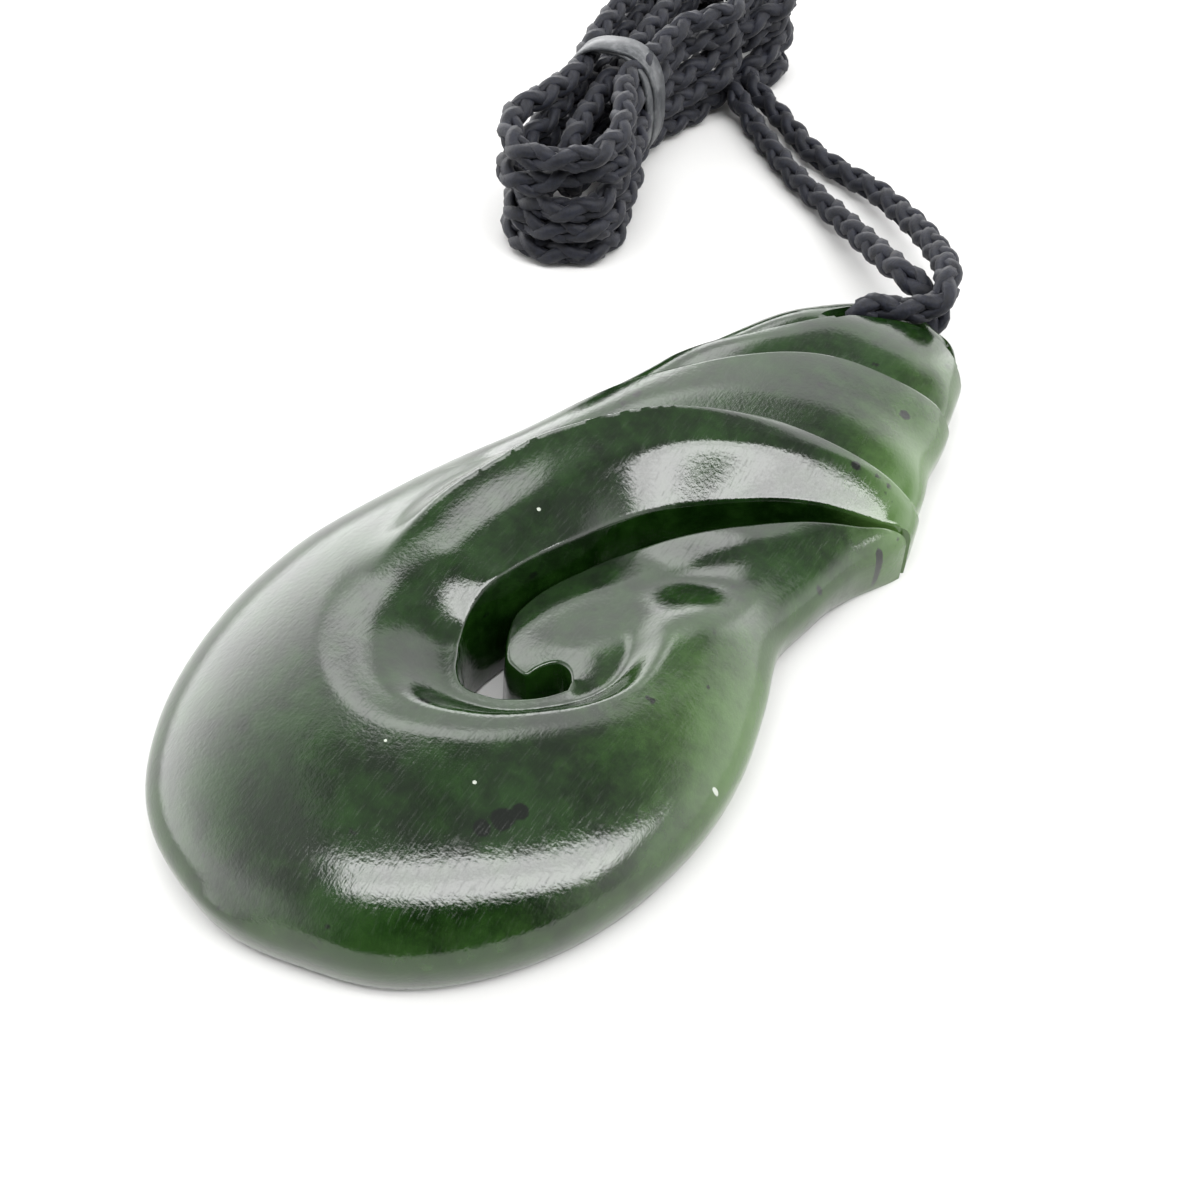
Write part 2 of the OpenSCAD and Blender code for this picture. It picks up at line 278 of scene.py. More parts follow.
class Nodes:
    """The nodes of one material or world."""

    def __init__(self, owner: bpy.types.Material | bpy.types.World) -> None:
        """Empties the owner's node tree.

        Args:
            owner: The material or world.
        """
        self.owner = owner
        owner.use_nodes = True
        self.tree = owner.node_tree
        self.tree.nodes.clear()

    def node(self, kind: str, settings: dict, inputs: dict) -> bpy.types.Node:
        """Adds a node.

        Args:
            kind: The node's type.
            settings: Its settings.
            inputs: Values or links of its sockets, by name or number.

        Returns:
            The node.
        """
        made = self.tree.nodes.new(kind)
        for key, value in settings.items():
            setattr(made, key, value)
        for key, value in inputs.items():
            if isinstance(value, Value):
                self.tree.links.new(value.socket, made.inputs[key])
            else:
                made.inputs[key].default_value = value
        return made

    def value(self, kind: str, settings: dict, inputs: dict, output: str | int = 0) -> Value:
        """Adds a node and gives one of its outputs."""
        return Value(self, self.node(kind, settings, inputs).outputs[output])

    def maths(self, operation: str, a: Value | float, b: Value | float) -> Value:
        """A Math node on two numbers."""
        return self.value("ShaderNodeMath", {"operation": operation}, {0: a, 1: b})

    def vector(self, operation: str, a: Value, b: Triple, output: str | int = 0) -> Value:
        """A Vector Math node on a vector and a fixed one."""
        return self.value("ShaderNodeVectorMath", {"operation": operation}, {0: a, 1: b}, output)

    def mix(self, factor: Value, a: Value | Triple, b: Value | Triple) -> Value:
        """Mixes two colours.

        Args:
            factor: The second colour's share.
            a: The first colour.
            b: The second colour.

        Returns:
            The colour between them.
        """
        first, second = ((*c, 1.0) if isinstance(c, tuple) else c for c in (a, b))
        inputs = {0: factor, 6: first, 7: second}
        return self.value("ShaderNodeMix", {"data_type": "RGBA"}, inputs, 2)

    def place(self, scale: Triple = (1000.0, 1000.0, 1000.0)) -> Value:
        """The point on the object, in millimetres unless another scale is given."""
        return self.vector("MULTIPLY", self.value("ShaderNodeTexCoord", {}, {}, "Object"), scale)

    def noise(self, place: Value, scale: float, detail: float, rough: float) -> Value:
        """Cloudy noise with that many lumps to a millimetre."""
        inputs = {"Vector": place, "Scale": scale, "Detail": detail, "Roughness": rough}
        return self.value("ShaderNodeTexNoise", {}, inputs, 0)

    def attribute(self, name: str) -> Value:
        """A number kept on the mesh's points."""
        return self.value("ShaderNodeAttribute", {"attribute_name": name}, {}, "Fac")

    def dot(self, vector: Value, way: Points | Triple) -> Value:
        """How far a vector reaches along a fixed direction."""
        return self.vector("DOT_PRODUCT", vector, tuple(way), "Value")

    def bump(self, height: Value, strength: float, distance: float) -> Value:
        """A normal from heights."""
        inputs = {"Height": height, "Strength": strength, "Distance": distance}
        return self.value("ShaderNodeBump", {}, inputs, "Normal")

    def ended(self, shader: bpy.types.Node, kind: str) -> bpy.types.Material | bpy.types.World:
        """Links the last shader to an output.

        Args:
            shader: The shader.
            kind: The output node's type.

        Returns:
            The finished material or world.
        """
        output = self.node(kind, {}, {})
        self.tree.links.new(shader.outputs[0], output.inputs[0])
        return self.owner

    def surface(self, inputs: dict) -> bpy.types.Material:
        """Ends the material in a Principled shader with those inputs."""
        return self.ended(self.node("ShaderNodeBsdfPrincipled", {}, inputs), "ShaderNodeOutputMaterial")

    def background(self, strength: Value) -> bpy.types.World:
        """Ends the world in white light of that strength."""
        inputs = {"Color": (1.0, 1.0, 1.0, 1.0), "Strength": strength}
        return self.ended(self.node("ShaderNodeBackground", {}, inputs), "ShaderNodeOutputWorld")


# Finishes, whose noises are given as lumps to a millimetre, detail and roughness


@dataclass(frozen=True)
class Nephrite:
    """Polished greenstone, dark in thick places, with painted glow: its colour is painted paler where the
    stone is thinner, standing in for light shining through it.

    Flecks and chips are spots: each is a place on the front and a radius, in millimetres.
    """

    deep: Triple = (0.0014, 0.007, 0.0006)
    body: Triple = (0.007, 0.026, 0.0035)
    pale: Triple = (0.05, 0.105, 0.024)
    fleck: Triple = (0.001, 0.003, 0.001)
    chip: Triple = (0.35, 0.38, 0.33)
    clouds: Triple = (0.16, 5.0, 0.6)
    mottle: Triple = (0.7, 6.0, 0.62)
    specks: Triple = (0.55, 3.0, 0.5)
    grain: Triple = (3.5, 3.0, 0.6)
    polish: Triple = (1.0, 2.0, 0.6)
    polish_scale: Triple = (9000.0, 700.0, 2000.0)
    cloud_share: float = 0.6
    body_from: Pair = (0.36, 0.64)
    specks_from: Pair = (0.7, 0.76)
    glow_mottle: float = 0.5
    roughness: float = 0.1
    polish_roughness: float = 0.16
    polish_from: Pair = (0.5, 0.7)
    polish_height: float = 0.35
    bump: Pair = (0.27, 0.00005)
    ior: float = 1.61
    spot_depth: float = 0.1
    spot_core: float = 0.6
    flecks: tuple = (
        (12.6, 21.3, 6.6, 0.6), (12.5, 13.1, 7.7, 0.42), (16.7, 9.4, 3.3, 0.4), (14.9, 3.6, 4.6, 0.3),
        (8.9, -26.5, 7.6, 0.6), (9.5, -25.4, 7.8, 0.75), (10.1, -24.4, 8.0, 0.6),
    )
    chips: tuple = (
        (7.0, -24.5, 8.7, 0.15), (17.5, -15.0, 4.9, 0.22), (0.1, -16.9, 7.0, 0.16),
        (0.9, -13.4, 6.4, 0.15), (1.1, -25.1, 9.0, 0.15), (-2.5, -4.3, 9.3, 0.15),
    )

    def material(self) -> bpy.types.Material:
        """Builds the material.

        Returns:
            The material, which reads the mesh's painted glow numbers: thinner stone is painted paler, as if
            lit through.
        """
        nodes = Nodes(bpy.data.materials.new("nephrite"))
        place = nodes.place()
        clouds, mottle = nodes.noise(place, *self.clouds), nodes.noise(place, *self.mottle)
        specks = nodes.noise(place, *self.specks).above(*self.specks_from)
        cloudy = clouds * self.cloud_share + mottle * (1.0 - self.cloud_share)
        # Painted glow: thinner stone is painted paler, standing in for light shining through it
        painted_glow = nodes.attribute("painted_glow") + (mottle - 0.5) * self.glow_mottle
        colour = nodes.mix(cloudy.above(*self.body_from), self.deep, self.body)
        colour = nodes.mix(painted_glow.above(0.0, 1.0), colour, self.pale)
        colour = nodes.mix(specks + self.spots(nodes, self.flecks, mottle), colour, self.fleck)
        colour = nodes.mix(self.spots(nodes, self.chips, mottle), colour, self.chip)
        polish = nodes.noise(nodes.place(self.polish_scale), *self.polish)
        height = nodes.noise(place, *self.grain) + polish * self.polish_height
        rough = polish.above(*self.polish_from) * self.polish_roughness + self.roughness
        return nodes.surface(
            {
                "Base Color": colour,
                "Roughness": rough,
                "Normal": nodes.bump(height, *self.bump),
                "IOR": self.ior,
            }
        )

    def spots(self, nodes: Nodes, places: tuple, mottle: Value) -> Value:
        """Ragged spots on the front.

        Args:
            nodes: The material's nodes.
            places: The spots.
            mottle: Noise that frays the edges.

        Returns:
            The mask, from 0 beside them to 1.
        """
        place = nodes.place((1000.0, 1000.0, 1000.0 * self.spot_depth))
        mask = mottle * 0.0
        for x, y, z, radius in places:
            away = nodes.vector("DISTANCE", place, (x, y, self.spot_depth * z), "Value")
            away = away + (mottle - 0.5) * radius
            mask = mask + (1.0 - away.above(self.spot_core * radius, radius))
        return mask.above(0.0, 1.0)


@dataclass(frozen=True)
class PlaitFinish:
    """Matt blue-black thread."""

    dark: Triple = (0.0018, 0.0022, 0.0045)
    light: Triple = (0.008, 0.0095, 0.018)
    threads: Triple = (5.0, 3.0, 0.6)
    lumps: Triple = (0.9, 2.0, 0.5)
    thread_share: float = 0.6
    light_from: Pair = (0.35, 0.65)
    roughness: float = 0.5
    thread_roughness: float = 0.2
    bump: Pair = (0.5, 0.0001)
    specular: float = 0.3
    sheen: Pair = (0.06, 0.5)

    def material(self) -> bpy.types.Material:
        """Builds the material.

        Returns:
            The material.
        """
        nodes = Nodes(bpy.data.materials.new("plaited_cord"))
        place = nodes.place()
        threads, lumps = nodes.noise(place, *self.threads), nodes.noise(place, *self.lumps)
        lumpy = threads * self.thread_share + lumps * (1.0 - self.thread_share)
        return nodes.surface(
            {
                "Base Color": nodes.mix(lumpy.above(*self.light_from), self.dark, self.light),
                "Roughness": threads * self.thread_roughness + self.roughness,
                "Normal": nodes.bump(threads, *self.bump),
                "Specular IOR Level": self.specular,
                "Sheen Weight": self.sheen[0],
                "Sheen Roughness": self.sheen[1],
            }
        )


@dataclass(frozen=True)
class RubberFinish:
    """Dark grey rubber with a faint sheen."""

    colour: Triple = (0.035, 0.038, 0.042)
    dust: Triple = (0.11, 0.115, 0.12)
    smears: Triple = (1.2, 4.0, 0.6)
    grain: Triple = (4.0, 2.0, 0.5)
    dust_from: Pair = (0.4, 0.75)
    dust_roughness: float = 0.2
    roughness: float = 0.3
    bump: Pair = (0.2, 0.00005)

    def material(self) -> bpy.types.Material:
        """Builds the material.

        Returns:
            The material.
        """
        nodes = Nodes(bpy.data.materials.new("rubber_band"))
        place = nodes.place()
        dusty = nodes.noise(place, *self.smears)
        return nodes.surface(
            {
                "Base Color": nodes.mix(dusty.above(*self.dust_from), self.colour, self.dust),
                "Roughness": dusty * self.dust_roughness + self.roughness,
                "Normal": nodes.bump(nodes.noise(place, *self.grain), *self.bump),
            }
        )


@dataclass(frozen=True)
class TableFinish:
    """Plain pale table."""

    colour: Triple = (0.6, 0.598, 0.592)
    darker: float = 0.985
    grain: Triple = (1.0, 2.0, 0.5)
    grain_scale: float = 60.0
    roughness: float = 0.7

    def material(self) -> bpy.types.Material:
        """Builds the material.

        Returns:
            The material.
        """
        nodes = Nodes(bpy.data.materials.new("table"))
        grain = nodes.noise(nodes.place((self.grain_scale,) * 3), *self.grain)
        colour = nodes.mix(grain, self.colour, tuple(self.darker * c for c in self.colour))
        return nodes.surface({"Base Color": colour, "Roughness": self.roughness})


# Meshes


def mesh_object(name: str, points: Points, faces: list, material: bpy.types.Material) -> bpy.types.Object:
    """Makes a smooth mesh object.

    Args:
        name: The piece's name.
        points: Its points, in millimetres.
        faces: Its faces.
        material: Its material.

    Returns:
        The object, linked to the scene, in metres.
    """
    mesh = bpy.data.meshes.new(name)
    mesh.from_pydata((np.asarray(points, float) * MM).tolist(), [], [list(map(int, f)) for f in faces])
    mesh.polygons.foreach_set("use_smooth", [True] * len(mesh.polygons))
    mesh.materials.append(material)
    mesh.update()
    made = bpy.data.objects.new(name, mesh)
    bpy.context.scene.collection.objects.link(made)
    return made


def frames(line: Points, first: Points) -> tuple[Points, Points]:
    """Directions along a line that don't twist about it.

    Args:
        line: Points of the line.
        first: A vector that the first side leans to.

    Returns:
        The sides and the tops, one for each point.
    """
    ways = np.gradient(line, axis=0)
    ways /= np.linalg.norm(ways, axis=1, keepdims=True)
    sides = np.zeros_like(line)
    side = first
    for i, way in enumerate(ways):
        side = unit(side - way * (side @ way))
        sides[i] = side
    return sides, np.cross(ways, sides)


def tube(rings: Points, closed: bool) -> tuple[Points, list]:
    """Points and faces of a tube through rings.

    Args:
        rings: An array of rings, of points, of three numbers.
        closed: Whether the last ring joins the first; otherwise both ends get a cap.

    Returns:
        The points and the faces.
    """
    m, n = rings.shape[:2]
    i = np.arange(m if closed else m - 1)[:, None]
    j = np.arange(n)[None, :]
    a, b = i * n + j, i * n + (j + 1) % n
    up = (i + 1) % m * n
    quads = np.stack([a, b, up + (j + 1) % n, up + j], axis=-1).reshape(-1, 4)
    faces = quads.tolist()
    if not closed:
        faces += [list(range(n))[::-1], list(range((m - 1) * n, m * n))]
    return rings.reshape(-1, 3), faces


# The stone


@dataclass(frozen=True)
class EyeLine:
    """A radius or measure that changes with the angle about the eye, in degrees: one value each step."""

    first: float
    step: float
    values: tuple[float, ...]

    def read(self, angle: Points) -> Points:
        """The value at an angle."""
        return at(self.values, (angle - self.first) / self.step)


@dataclass(frozen=True)
class Ridge:
    """A step over a crease, lifted on the bulb's side and grooved on the top's side, in millimetres.

    fade holds the angle where it ends and the one where it is whole, drawn the angles between which
    the mesh follows the crease.
    """

    crease: EyeLine
    fade: Pair
    drawn: Pair
    lift: float
    lift_width: float
    groove: float
    groove_width: float
    chamfer: float = 0.0
    chamfer_fall: float = 0.45
    step_width: float = 0.14

    def height(self, a: Points, r: Points) -> Points:
        """Height of the step.

        Args:
            a: Angles about the eye.
            r: Distances from it.

        Returns:
            The heights over the plain front.
        """
        d = self.crease.read(a) - r
        rise = 1.0
        if self.chamfer:
            rise = 1.0 - self.chamfer_fall * np.clip(1.0 - d / self.chamfer, 0.0, 1.0)
        up = self.lift * rise * bell(np.maximum(d - self.chamfer, 0.0), self.lift_width)
        down = -self.groove * bell(np.minimum(d, 0.0), self.groove_width)
        return (down + (up - down) * ramp(-self.step_width, self.step_width, d)) * ramp(*self.fade, a)


@dataclass
class StoneForm:
    """The carved form in millimetres, in the plan that part.scad uses before it centres the stone.

    Each row of sections is a cross line: its left end, its right end and the front's height between them.
    A pair that a mask is read from holds the place of 0 and the place of 1, as angles about the eye or as
    distances from it. The soft rim is its depth, how far beyond the dish it starts and its width.
    """

    # Size, outline and plain dome
    length: float = 74.4
    width: float = 36.0
    thickness: float = 9.4
    wall_top: float = 3.3
    dome_power: float = 2.3
    rim_fade: float = 8.0
    tip_cut: float = 0.03
    outline_points: int = 700
    crease_points: int = 160
    halvings: int = 30
    eye: Pair = (4.0, -8.0)
    sections: tuple = (
        (-2.5, -35.6, -2.5, -35.6, 3.3), (-6.5, -34.8, 2.2, -34.9, 4.9), (-10.2, -33.2, 7.0, -33.4, 6.4),
        (-13.2, -30.6, 11.0, -30.4, 7.7), (-15.8, -26.6, 14.2, -26.2, 8.7), (-17.5, -22.1, 16.2, -21.6, 9.2),
        (-18.4, -17.5, 17.2, -17.0, 9.4), (-18.6, -13.2, 17.4, -13.4, 9.4), (-18.2, -9.0, 17.0, -9.4, 9.3),
        (-16.6, -3.2, 15.8, -4.8, 9.2), (-14.7, 2.2, 14.2, 0.2, 9.0), (-12.8, 6.8, 14.6, 4.6, 8.8),
        (-11.4, 11.0, 15.4, 9.0, 8.6), (-10.0, 15.2, 16.8, 13.4, 8.4), (-8.4, 19.4, 16.4, 17.6, 8.1),
        (-7.3, 23.3, 15.2, 21.6, 7.8), (-5.6, 27.3, 14.6, 25.6, 7.4), (-3.8, 31.2, 13.5, 29.8, 7.0),
        (-1.9, 34.4, 12.5, 33.6, 5.9), (0.6, 37.0, 10.6, 36.7, 5.0), (3.2, 38.4, 8.3, 38.1, 4.3),
        (6.0, 38.8, 6.0, 38.8, 3.3),
    )

    # Ridges, and how far they notch the rim
    ridges: tuple[Ridge, ...] = (
        Ridge(
            EyeLine(60, 10, (27.9, 25.4, 23.75, 22.4, 20.85, 19.1, 17.75, 16.9, 16.5, 17.2, 18.5)),
            fade=(158, 132), drawn=(62, 160), lift=0.44, lift_width=5.0, groove=0.7, groove_width=2.6,
            chamfer=1.1,
        ),
        Ridge(
            EyeLine(60, 10, (38.5, 36.9, 34.3, 32.7, 29.4, 26.5, 24.7, 23.3)),
            fade=(130, 112), drawn=(62, 128), lift=0.35, lift_width=4.0, groove=0.7, groove_width=2.4,
        ),
        Ridge(
            EyeLine(75, 5, (40.4, 42.3, 42.9, 40.2, 36.8, 33.9, 32.1, 30.6, 29.3, 28.2)),
            fade=(125, 108), drawn=(76, 122), lift=0.4, lift_width=4.0, groove=1.4, groove_width=2.6,
        ),
    )
    notch: float = 0.4
    notch_reach: float = 1.5
    notch_span: Pair = (55.0, 160.0)

    # The band: its edge, the lift along that edge, its crown and its tilt
    band_span: Pair = (55.0, 205.0)
    band_edge: EyeLine = EyeLine(60, 15, (26.8, 23.6, 21.1, 18.7, 16.5, 14.9, 13.7, 13.3, 13.2, 13.7, 14.2))
    band_lift: float = 0.55
    band_lift_width: float = 1.3
    band_lift_power: float = 1.2
    band_lift_span: tuple[Pair, Pair] = ((92, 110), (204, 172))
    band_bulge: float = 0.1
    band_bulge_span: tuple[Pair, Pair] = ((62, 90), (195, 145))
    band_bulge_end: float = 200.0
    band_tilt: float = 1.1
    band_tilt_width: float = 1.5
    band_tilt_span: tuple[Pair, Pair] = ((75, 100), (204, 150))

    # The band's shoulder, which falls to the slit
    shoulder: EyeLine = EyeLine(60, 15, (0.65, 0.95, 1.4, 1.2, 0.85, 0.68, 0.6, 0.5, 0.45, 0.35, 0.3))
    shoulder_fall: float = 1.6
    shoulder_reach: float = 3.4
    shoulder_round: float = 0.02

    # The dish round the eye
    dish_rim: EyeLine = EyeLine(
        185, 20, (13.0, 14.0, 14.4, 13.8, 11.3, 9.1, 7.9, 7.2, 6.6, 6.2, 6.0, 6.0, 6.0)
    )
    dish_slope: EyeLine = EyeLine(185, 40, (6.0, 5.6, 2.6, 2.2, 3.0, 3.6, 3.6))
    dish_depth: float = 2.0
    dish_start: Pair = (185.0, 225.0)
    dish_turn: float = 70.0
    dish_shallow: Pair = (395.0, 425.0)
    shallow_share: float = 0.5
    soft_rim: Triple = (0.45, 2.6, 3.4)

    # The hook's limb: a fall to its crest, its low part and the bevel beyond the crest
    crest_fall: float = 0.8
    crest_reach: float = 6.0
    crest_even: Pair = (7.0, 14.0)
    crest_even_share: float = 0.6
    limb_reach: float = 8.0
    limb_low: Pair = (13.0, 21.0)
    limb_shallow: Pair = (8.0, 15.0)
    bevel_slope: float = 0.36
    bevel_round: float = 0.3
    flat_bevel: Pair = (4.5, 1.5)
    flat_bevel_reach: float = 5.0
    flat_bevel_share: float = 0.45

    # The slit's two lips and the limb's crest
    lip_blend: float = 0.4
    lip_wear: float = 0.22
    refined: int = 6
    upper_lip: tuple = (
        (19.4, 16.0), (17.2, 14.6), (15.0, 12.8), (13.4, 11.9), (11.1, 10.9), (8.6, 9.5), (6.3, 7.9),
        (4.1, 6.2), (2.2, 4.0), (0.8, 1.2), (-0.2, -2.2), (-1.3, -5.4), (-2.1, -8.6), (-2.4, -10.2),
        (-2.4, -11.8), (-1.9, -13.3), (-1.3, -14.3), (-0.7, -15.3), (0.2, -16.1), (1.1, -16.3),
        (2.1, -16.1), (3.0, -15.8), (4.4, -14.8), (5.3, -13.8), (5.9, -12.8),
    )
    slit_edge: tuple = (
        (19.3, 15.5), (17.0, 13.8), (15.3, 12.4), (13.9, 11.0), (12.4, 9.9), (10.8, 8.9), (9.1, 7.6),
        (7.5, 6.1), (5.4, 4.2), (3.4, 2.2), (1.2, -0.6), (0.2, -2.8), (-0.4, -4.4), (-0.8, -6.1),
        (-0.9, -7.6), (-0.8, -9.0), (-0.2, -10.5), (0.4, -11.6), (1.2, -12.7), (2.0, -13.1),
        (3.1, -13.3), (3.4, -12.5), (4.0, -11.7), (4.7, -11.5), (5.4, -11.8), (5.9, -12.4),
    )
    limb_crest: tuple = (
        (19.4, 15.2), (17.1, 13.6), (15.2, 12.0), (13.4, 10.1), (11.5, 7.5), (9.5, 5.4), (8.5, 4.3),
        (6.8, 1.9), (5.1, -0.5), (3.6, -3.2), (2.0, -5.6), (1.1, -7.4), (0.6, -9.2), (0.5, -10.5),
        (0.9, -12.0), (1.4, -12.8),
    )

    def __post_init__(self) -> None:
        """Works out the slopes of the cross lines, the stone's middle and the refined lips."""
        s = np.array(self.sections)
        slopes = np.gradient(s, axis=0)
        for tip, next_to, sign in ((0, 1, 1.0), (-1, -2, -1.0)):
            half = (s[next_to, :2] - s[next_to, 2:4]) / 2.0
            rise = 2.0 * (s[next_to, 4] - s[tip, 4])
            slopes[tip] = sign * np.array([half[0], half[1], -half[0], -half[1], rise])
        self.slopes = slopes
        last = len(s) - 1
        rows = self.rows(np.clip(np.arange(4 * last + 1) / 4.0, self.tip_cut, last - self.tip_cut))
        across = (rows[:, 0].min() + rows[:, 2].max()) / 2.0
        self.middle = np.array([across, (rows[0, 1] + rows[-1, 1]) / 2.0, 0.0])
        self.upper = refine(self.upper_lip, self.refined)
        self.lower = refine(self.slit_edge, self.refined)
        self.crest = refine(self.limb_crest, self.refined)

    def rows(self, k: Points) -> Points:
        """Cross lines at whole or broken indices."""
        return at(self.sections, k, self.slopes)

    def outline(self) -> Points:
        """The rim.

        Returns:
            Its points as a closed loop, turning left.
        """
        last = len(self.sections) - 1
        k = np.linspace(0.0, last, self.outline_points)
        rows = self.rows(np.clip(k, self.tip_cut, last - self.tip_cut))
        return np.concatenate([rows[:, 2:4], rows[::-1, 0:2]])

    def crease(self, ridge: Ridge) -> Points:
        """The crease of a ridge.

        Args:
            ridge: The ridge.

        Returns:
            Points of the part that the mesh follows.
        """
        angles = np.linspace(*ridge.drawn, self.crease_points)
        r, turn = ridge.crease.read(angles), np.radians(angles)
        return np.stack([self.eye[0] + r * np.cos(turn), self.eye[1] + r * np.sin(turn)], axis=1)

    def about_eye(self, points: Points) -> tuple[Points, Points]:
        """Angles about the eye and distances from it.

        Args:
            points: Points in the plan.

        Returns:
            The angles, from 0 to 360 degrees, and the distances.
        """
        v = points - np.array(self.eye)
        return np.degrees(np.arctan2(v[:, 1], v[:, 0])) % 360.0, np.hypot(v[:, 0], v[:, 1])

    def locate(self, points: Points) -> tuple[Points, Points]:
        """Finds points on the cross lines.

        Args:
            points: Points in the plan.

        Returns:
            The broken index of each point's cross line, and how far along that line it is, from 0 to 1.
        """
        low = np.zeros(len(points))
        high = np.full(len(points), len(self.sections) - 1.0)
        for _ in range(self.halvings):
            k = (low + high) / 2.0
            rows = self.rows(k)
            across = rows[:, 2:4] - rows[:, 0:2]
            v = points - rows[:, 0:2]
            beyond = across[:, 0] * v[:, 1] - across[:, 1] * v[:, 0] > 0.0
            low, high = np.where(beyond, k, low), np.where(beyond, high, k)
        k = (low + high) / 2.0
        rows = self.rows(k)
        across = rows[:, 2:4] - rows[:, 0:2]
        length = np.maximum((across**2).sum(axis=1), 1e-9)
        return k, np.clip(((points - rows[:, 0:2]) * across).sum(axis=1) / length, 0.0, 1.0)

    def steps(self, a: Points, r: Points) -> Points:
        """The three overlapping ridges' steps together."""
        return sum(ridge.height(a, r) for ridge in self.ridges)

    def band_side(self, a: Points, r: Points, up: Points) -> Points:
        """Carving on the band's side of the slit.

        Args:
            a: Angles about the eye.
            r: Distances from it.
            up: Distances from the slit's upper lip.

        Returns:
            The heights over the plain front.
        """
        edge = self.band_edge.read(a) - r
        lifted = np.exp(-((np.abs(edge) / self.band_lift_width) ** self.band_lift_power))
        carved = self.steps(a, r) + self.band_lift * lifted * between(*self.band_lift_span, a)
        lip = np.maximum(up, 0.0)
        share = lip / np.maximum(lip + edge, TINY)
        tilt = np.where(edge > 0.0, share, bell(edge, self.band_tilt_width))
        carved += self.band_tilt * tilt * between(*self.band_tilt_span, a)
        bulge = self.band_bulge * np.sin(np.pi * share) * between(*self.band_bulge_span, a)
        carved += np.where((edge <= 0.0) | (a > self.band_bulge_end), 0.0, bulge)
        first, last = self.band_span
        carved = np.where((a > first) & (a < last), carved, 0.0)
        left = 1.0 - up / self.shoulder_reach
        shoulder = (left + np.sqrt(left**2 + self.shoulder_round)) / 2.0 * self.shoulder.read(a)
        return carved - self.dish(a, r) - self.shoulder_fall * shoulder

    def hook_side(self, points: Points, a: Points, r: Points) -> Points:
        """Carving on the hook's side of the slit: the lowered limb and the bevel beyond its crest.

        Args:
            points: Points in the plan.
            a: Their angles about the eye.
            r: Their distances from it.

        Returns:
            The heights over the plain front.
        """
        gap, on_limb = line_gap(points, self.crest)
        beyond = np.where(on_limb, -gap, gap)
        flatter = closeness(points, self.flat_bevel, self.flat_bevel_reach)
        slope = self.bevel_slope * (1.0 - self.flat_bevel_share * flatter)
        bevel = slope * (beyond + np.sqrt(beyond**2 + self.bevel_round**2)) / 2.0
        back = np.maximum(-beyond, 0.0)
        ledge = self.crest_fall * (1.0 - ease(back / self.crest_reach))
        ledge = ledge * (1.0 - self.crest_even_share * ramp(*self.crest_even, r))
        by_crest = (1.0 - ease(back / self.limb_reach)) * (1.0 - ramp(*self.limb_low, r))
        turn = np.where(a < self.dish_rim.first, a + 360.0, a)
        deep, soft = (1.0 - (1.0 - part) * (1.0 - by_crest) for part in self.dish_parts(turn, r))
        rim_fall = self.soft_rim[0]
        low = self.dish_depth * (1.0 - self.shallow_share * ramp(*self.limb_shallow, r)) - rim_fall
        return -low * deep - rim_fall * soft - ledge - bevel

    def dish_parts(self, turn: Points, r: Points) -> tuple[Points, Points]:
        """How far the dish and its soft rim reach.

        Args:
            turn: Angles about the eye, counted on past 360.
            r: Distances from it.

        Returns:
            The dish's and the soft rim's share, each from 0 to 1.
        """
        rim = self.dish_rim.read(turn)
        _, out, width = self.soft_rim
        return ease((rim - r) / self.dish_slope.read(turn)), ease((rim + out - r) / width)

    def dish(self, a: Points, r: Points) -> Points:
        """The dish round the eye, on the band's side of the slit.

        Args:
            a: Angles about the eye.
            r: Distances from it.

        Returns:
            The depths.
        """
        turn = np.where(a < self.dish_turn, a + 360.0, a)
        deep, soft = self.dish_parts(turn, r)
        depth = (self.dish_depth - self.soft_rim[0]) * deep + self.soft_rim[0] * soft
        depth = depth * ramp(*self.dish_start, turn)
        depth = depth * (1.0 - self.shallow_share * ramp(*self.dish_shallow, turn))
        return np.where(turn < self.dish_start[0], 0.0, depth)

    def relief(self, points: Points) -> Points:
        """The carving over the plain domed front.

        Args:
            points: Points in the plan.

        Returns:
            The heights.
        """
        a, r = self.about_eye(points)
        up, low = line_gap(points, self.upper)[0], line_gap(points, self.lower)[0]
        part = ramp(-self.lip_blend, self.lip_blend, up - low)
        edge = self.lip_wear
        inner = edge - np.minimum(np.minimum(up, low), edge)
        worn = edge - np.sqrt(np.maximum(edge**2 - inner**2, 0.0))
        return (1.0 - part) * self.band_side(a, r, up) + part * self.hook_side(points, a, r) - worn

    def notched(self, points: Points) -> Points:
        """Pushes the rim out and in where the ridges reach it.

        Args:
            points: Points in the plan.

        Returns:
            The moved points.
        """
        k, u = self.locate(points)
        rows = self.rows(k)
        across = rows[:, 2:4] - rows[:, 0:2]
        length = np.maximum(np.hypot(across[:, 0], across[:, 1]), TINY)
        gap = np.minimum(u, 1.0 - u) * length
        a, r = self.about_eye(points)
        first, last = self.notch_span
        push = np.where((a > first) & (a < last), self.steps(a, r), 0.0)
        push = push * self.notch * np.exp(-gap / self.notch_reach)
        return points + across * (push * np.sign(u - 0.5) / length)[:, None]

    def front(self, points: Points) -> Points:
        """The carved front.

        Args:
            points: Points in the plan.

        Returns:
            Its heights over the back.
        """
        k, u = self.locate(points)
        crest = self.rows(k)[:, 4]
        v = np.abs(2.0 * u - 1.0)
        dome = (crest - self.wall_top) * np.sqrt(np.maximum(0.0, 1.0 - v**self.dome_power))
        z = self.wall_top + dome + self.relief(points) * np.clip((1.0 - v) * self.rim_fade, 0.0, 1.0)
        return np.maximum(self.wall_top, z)


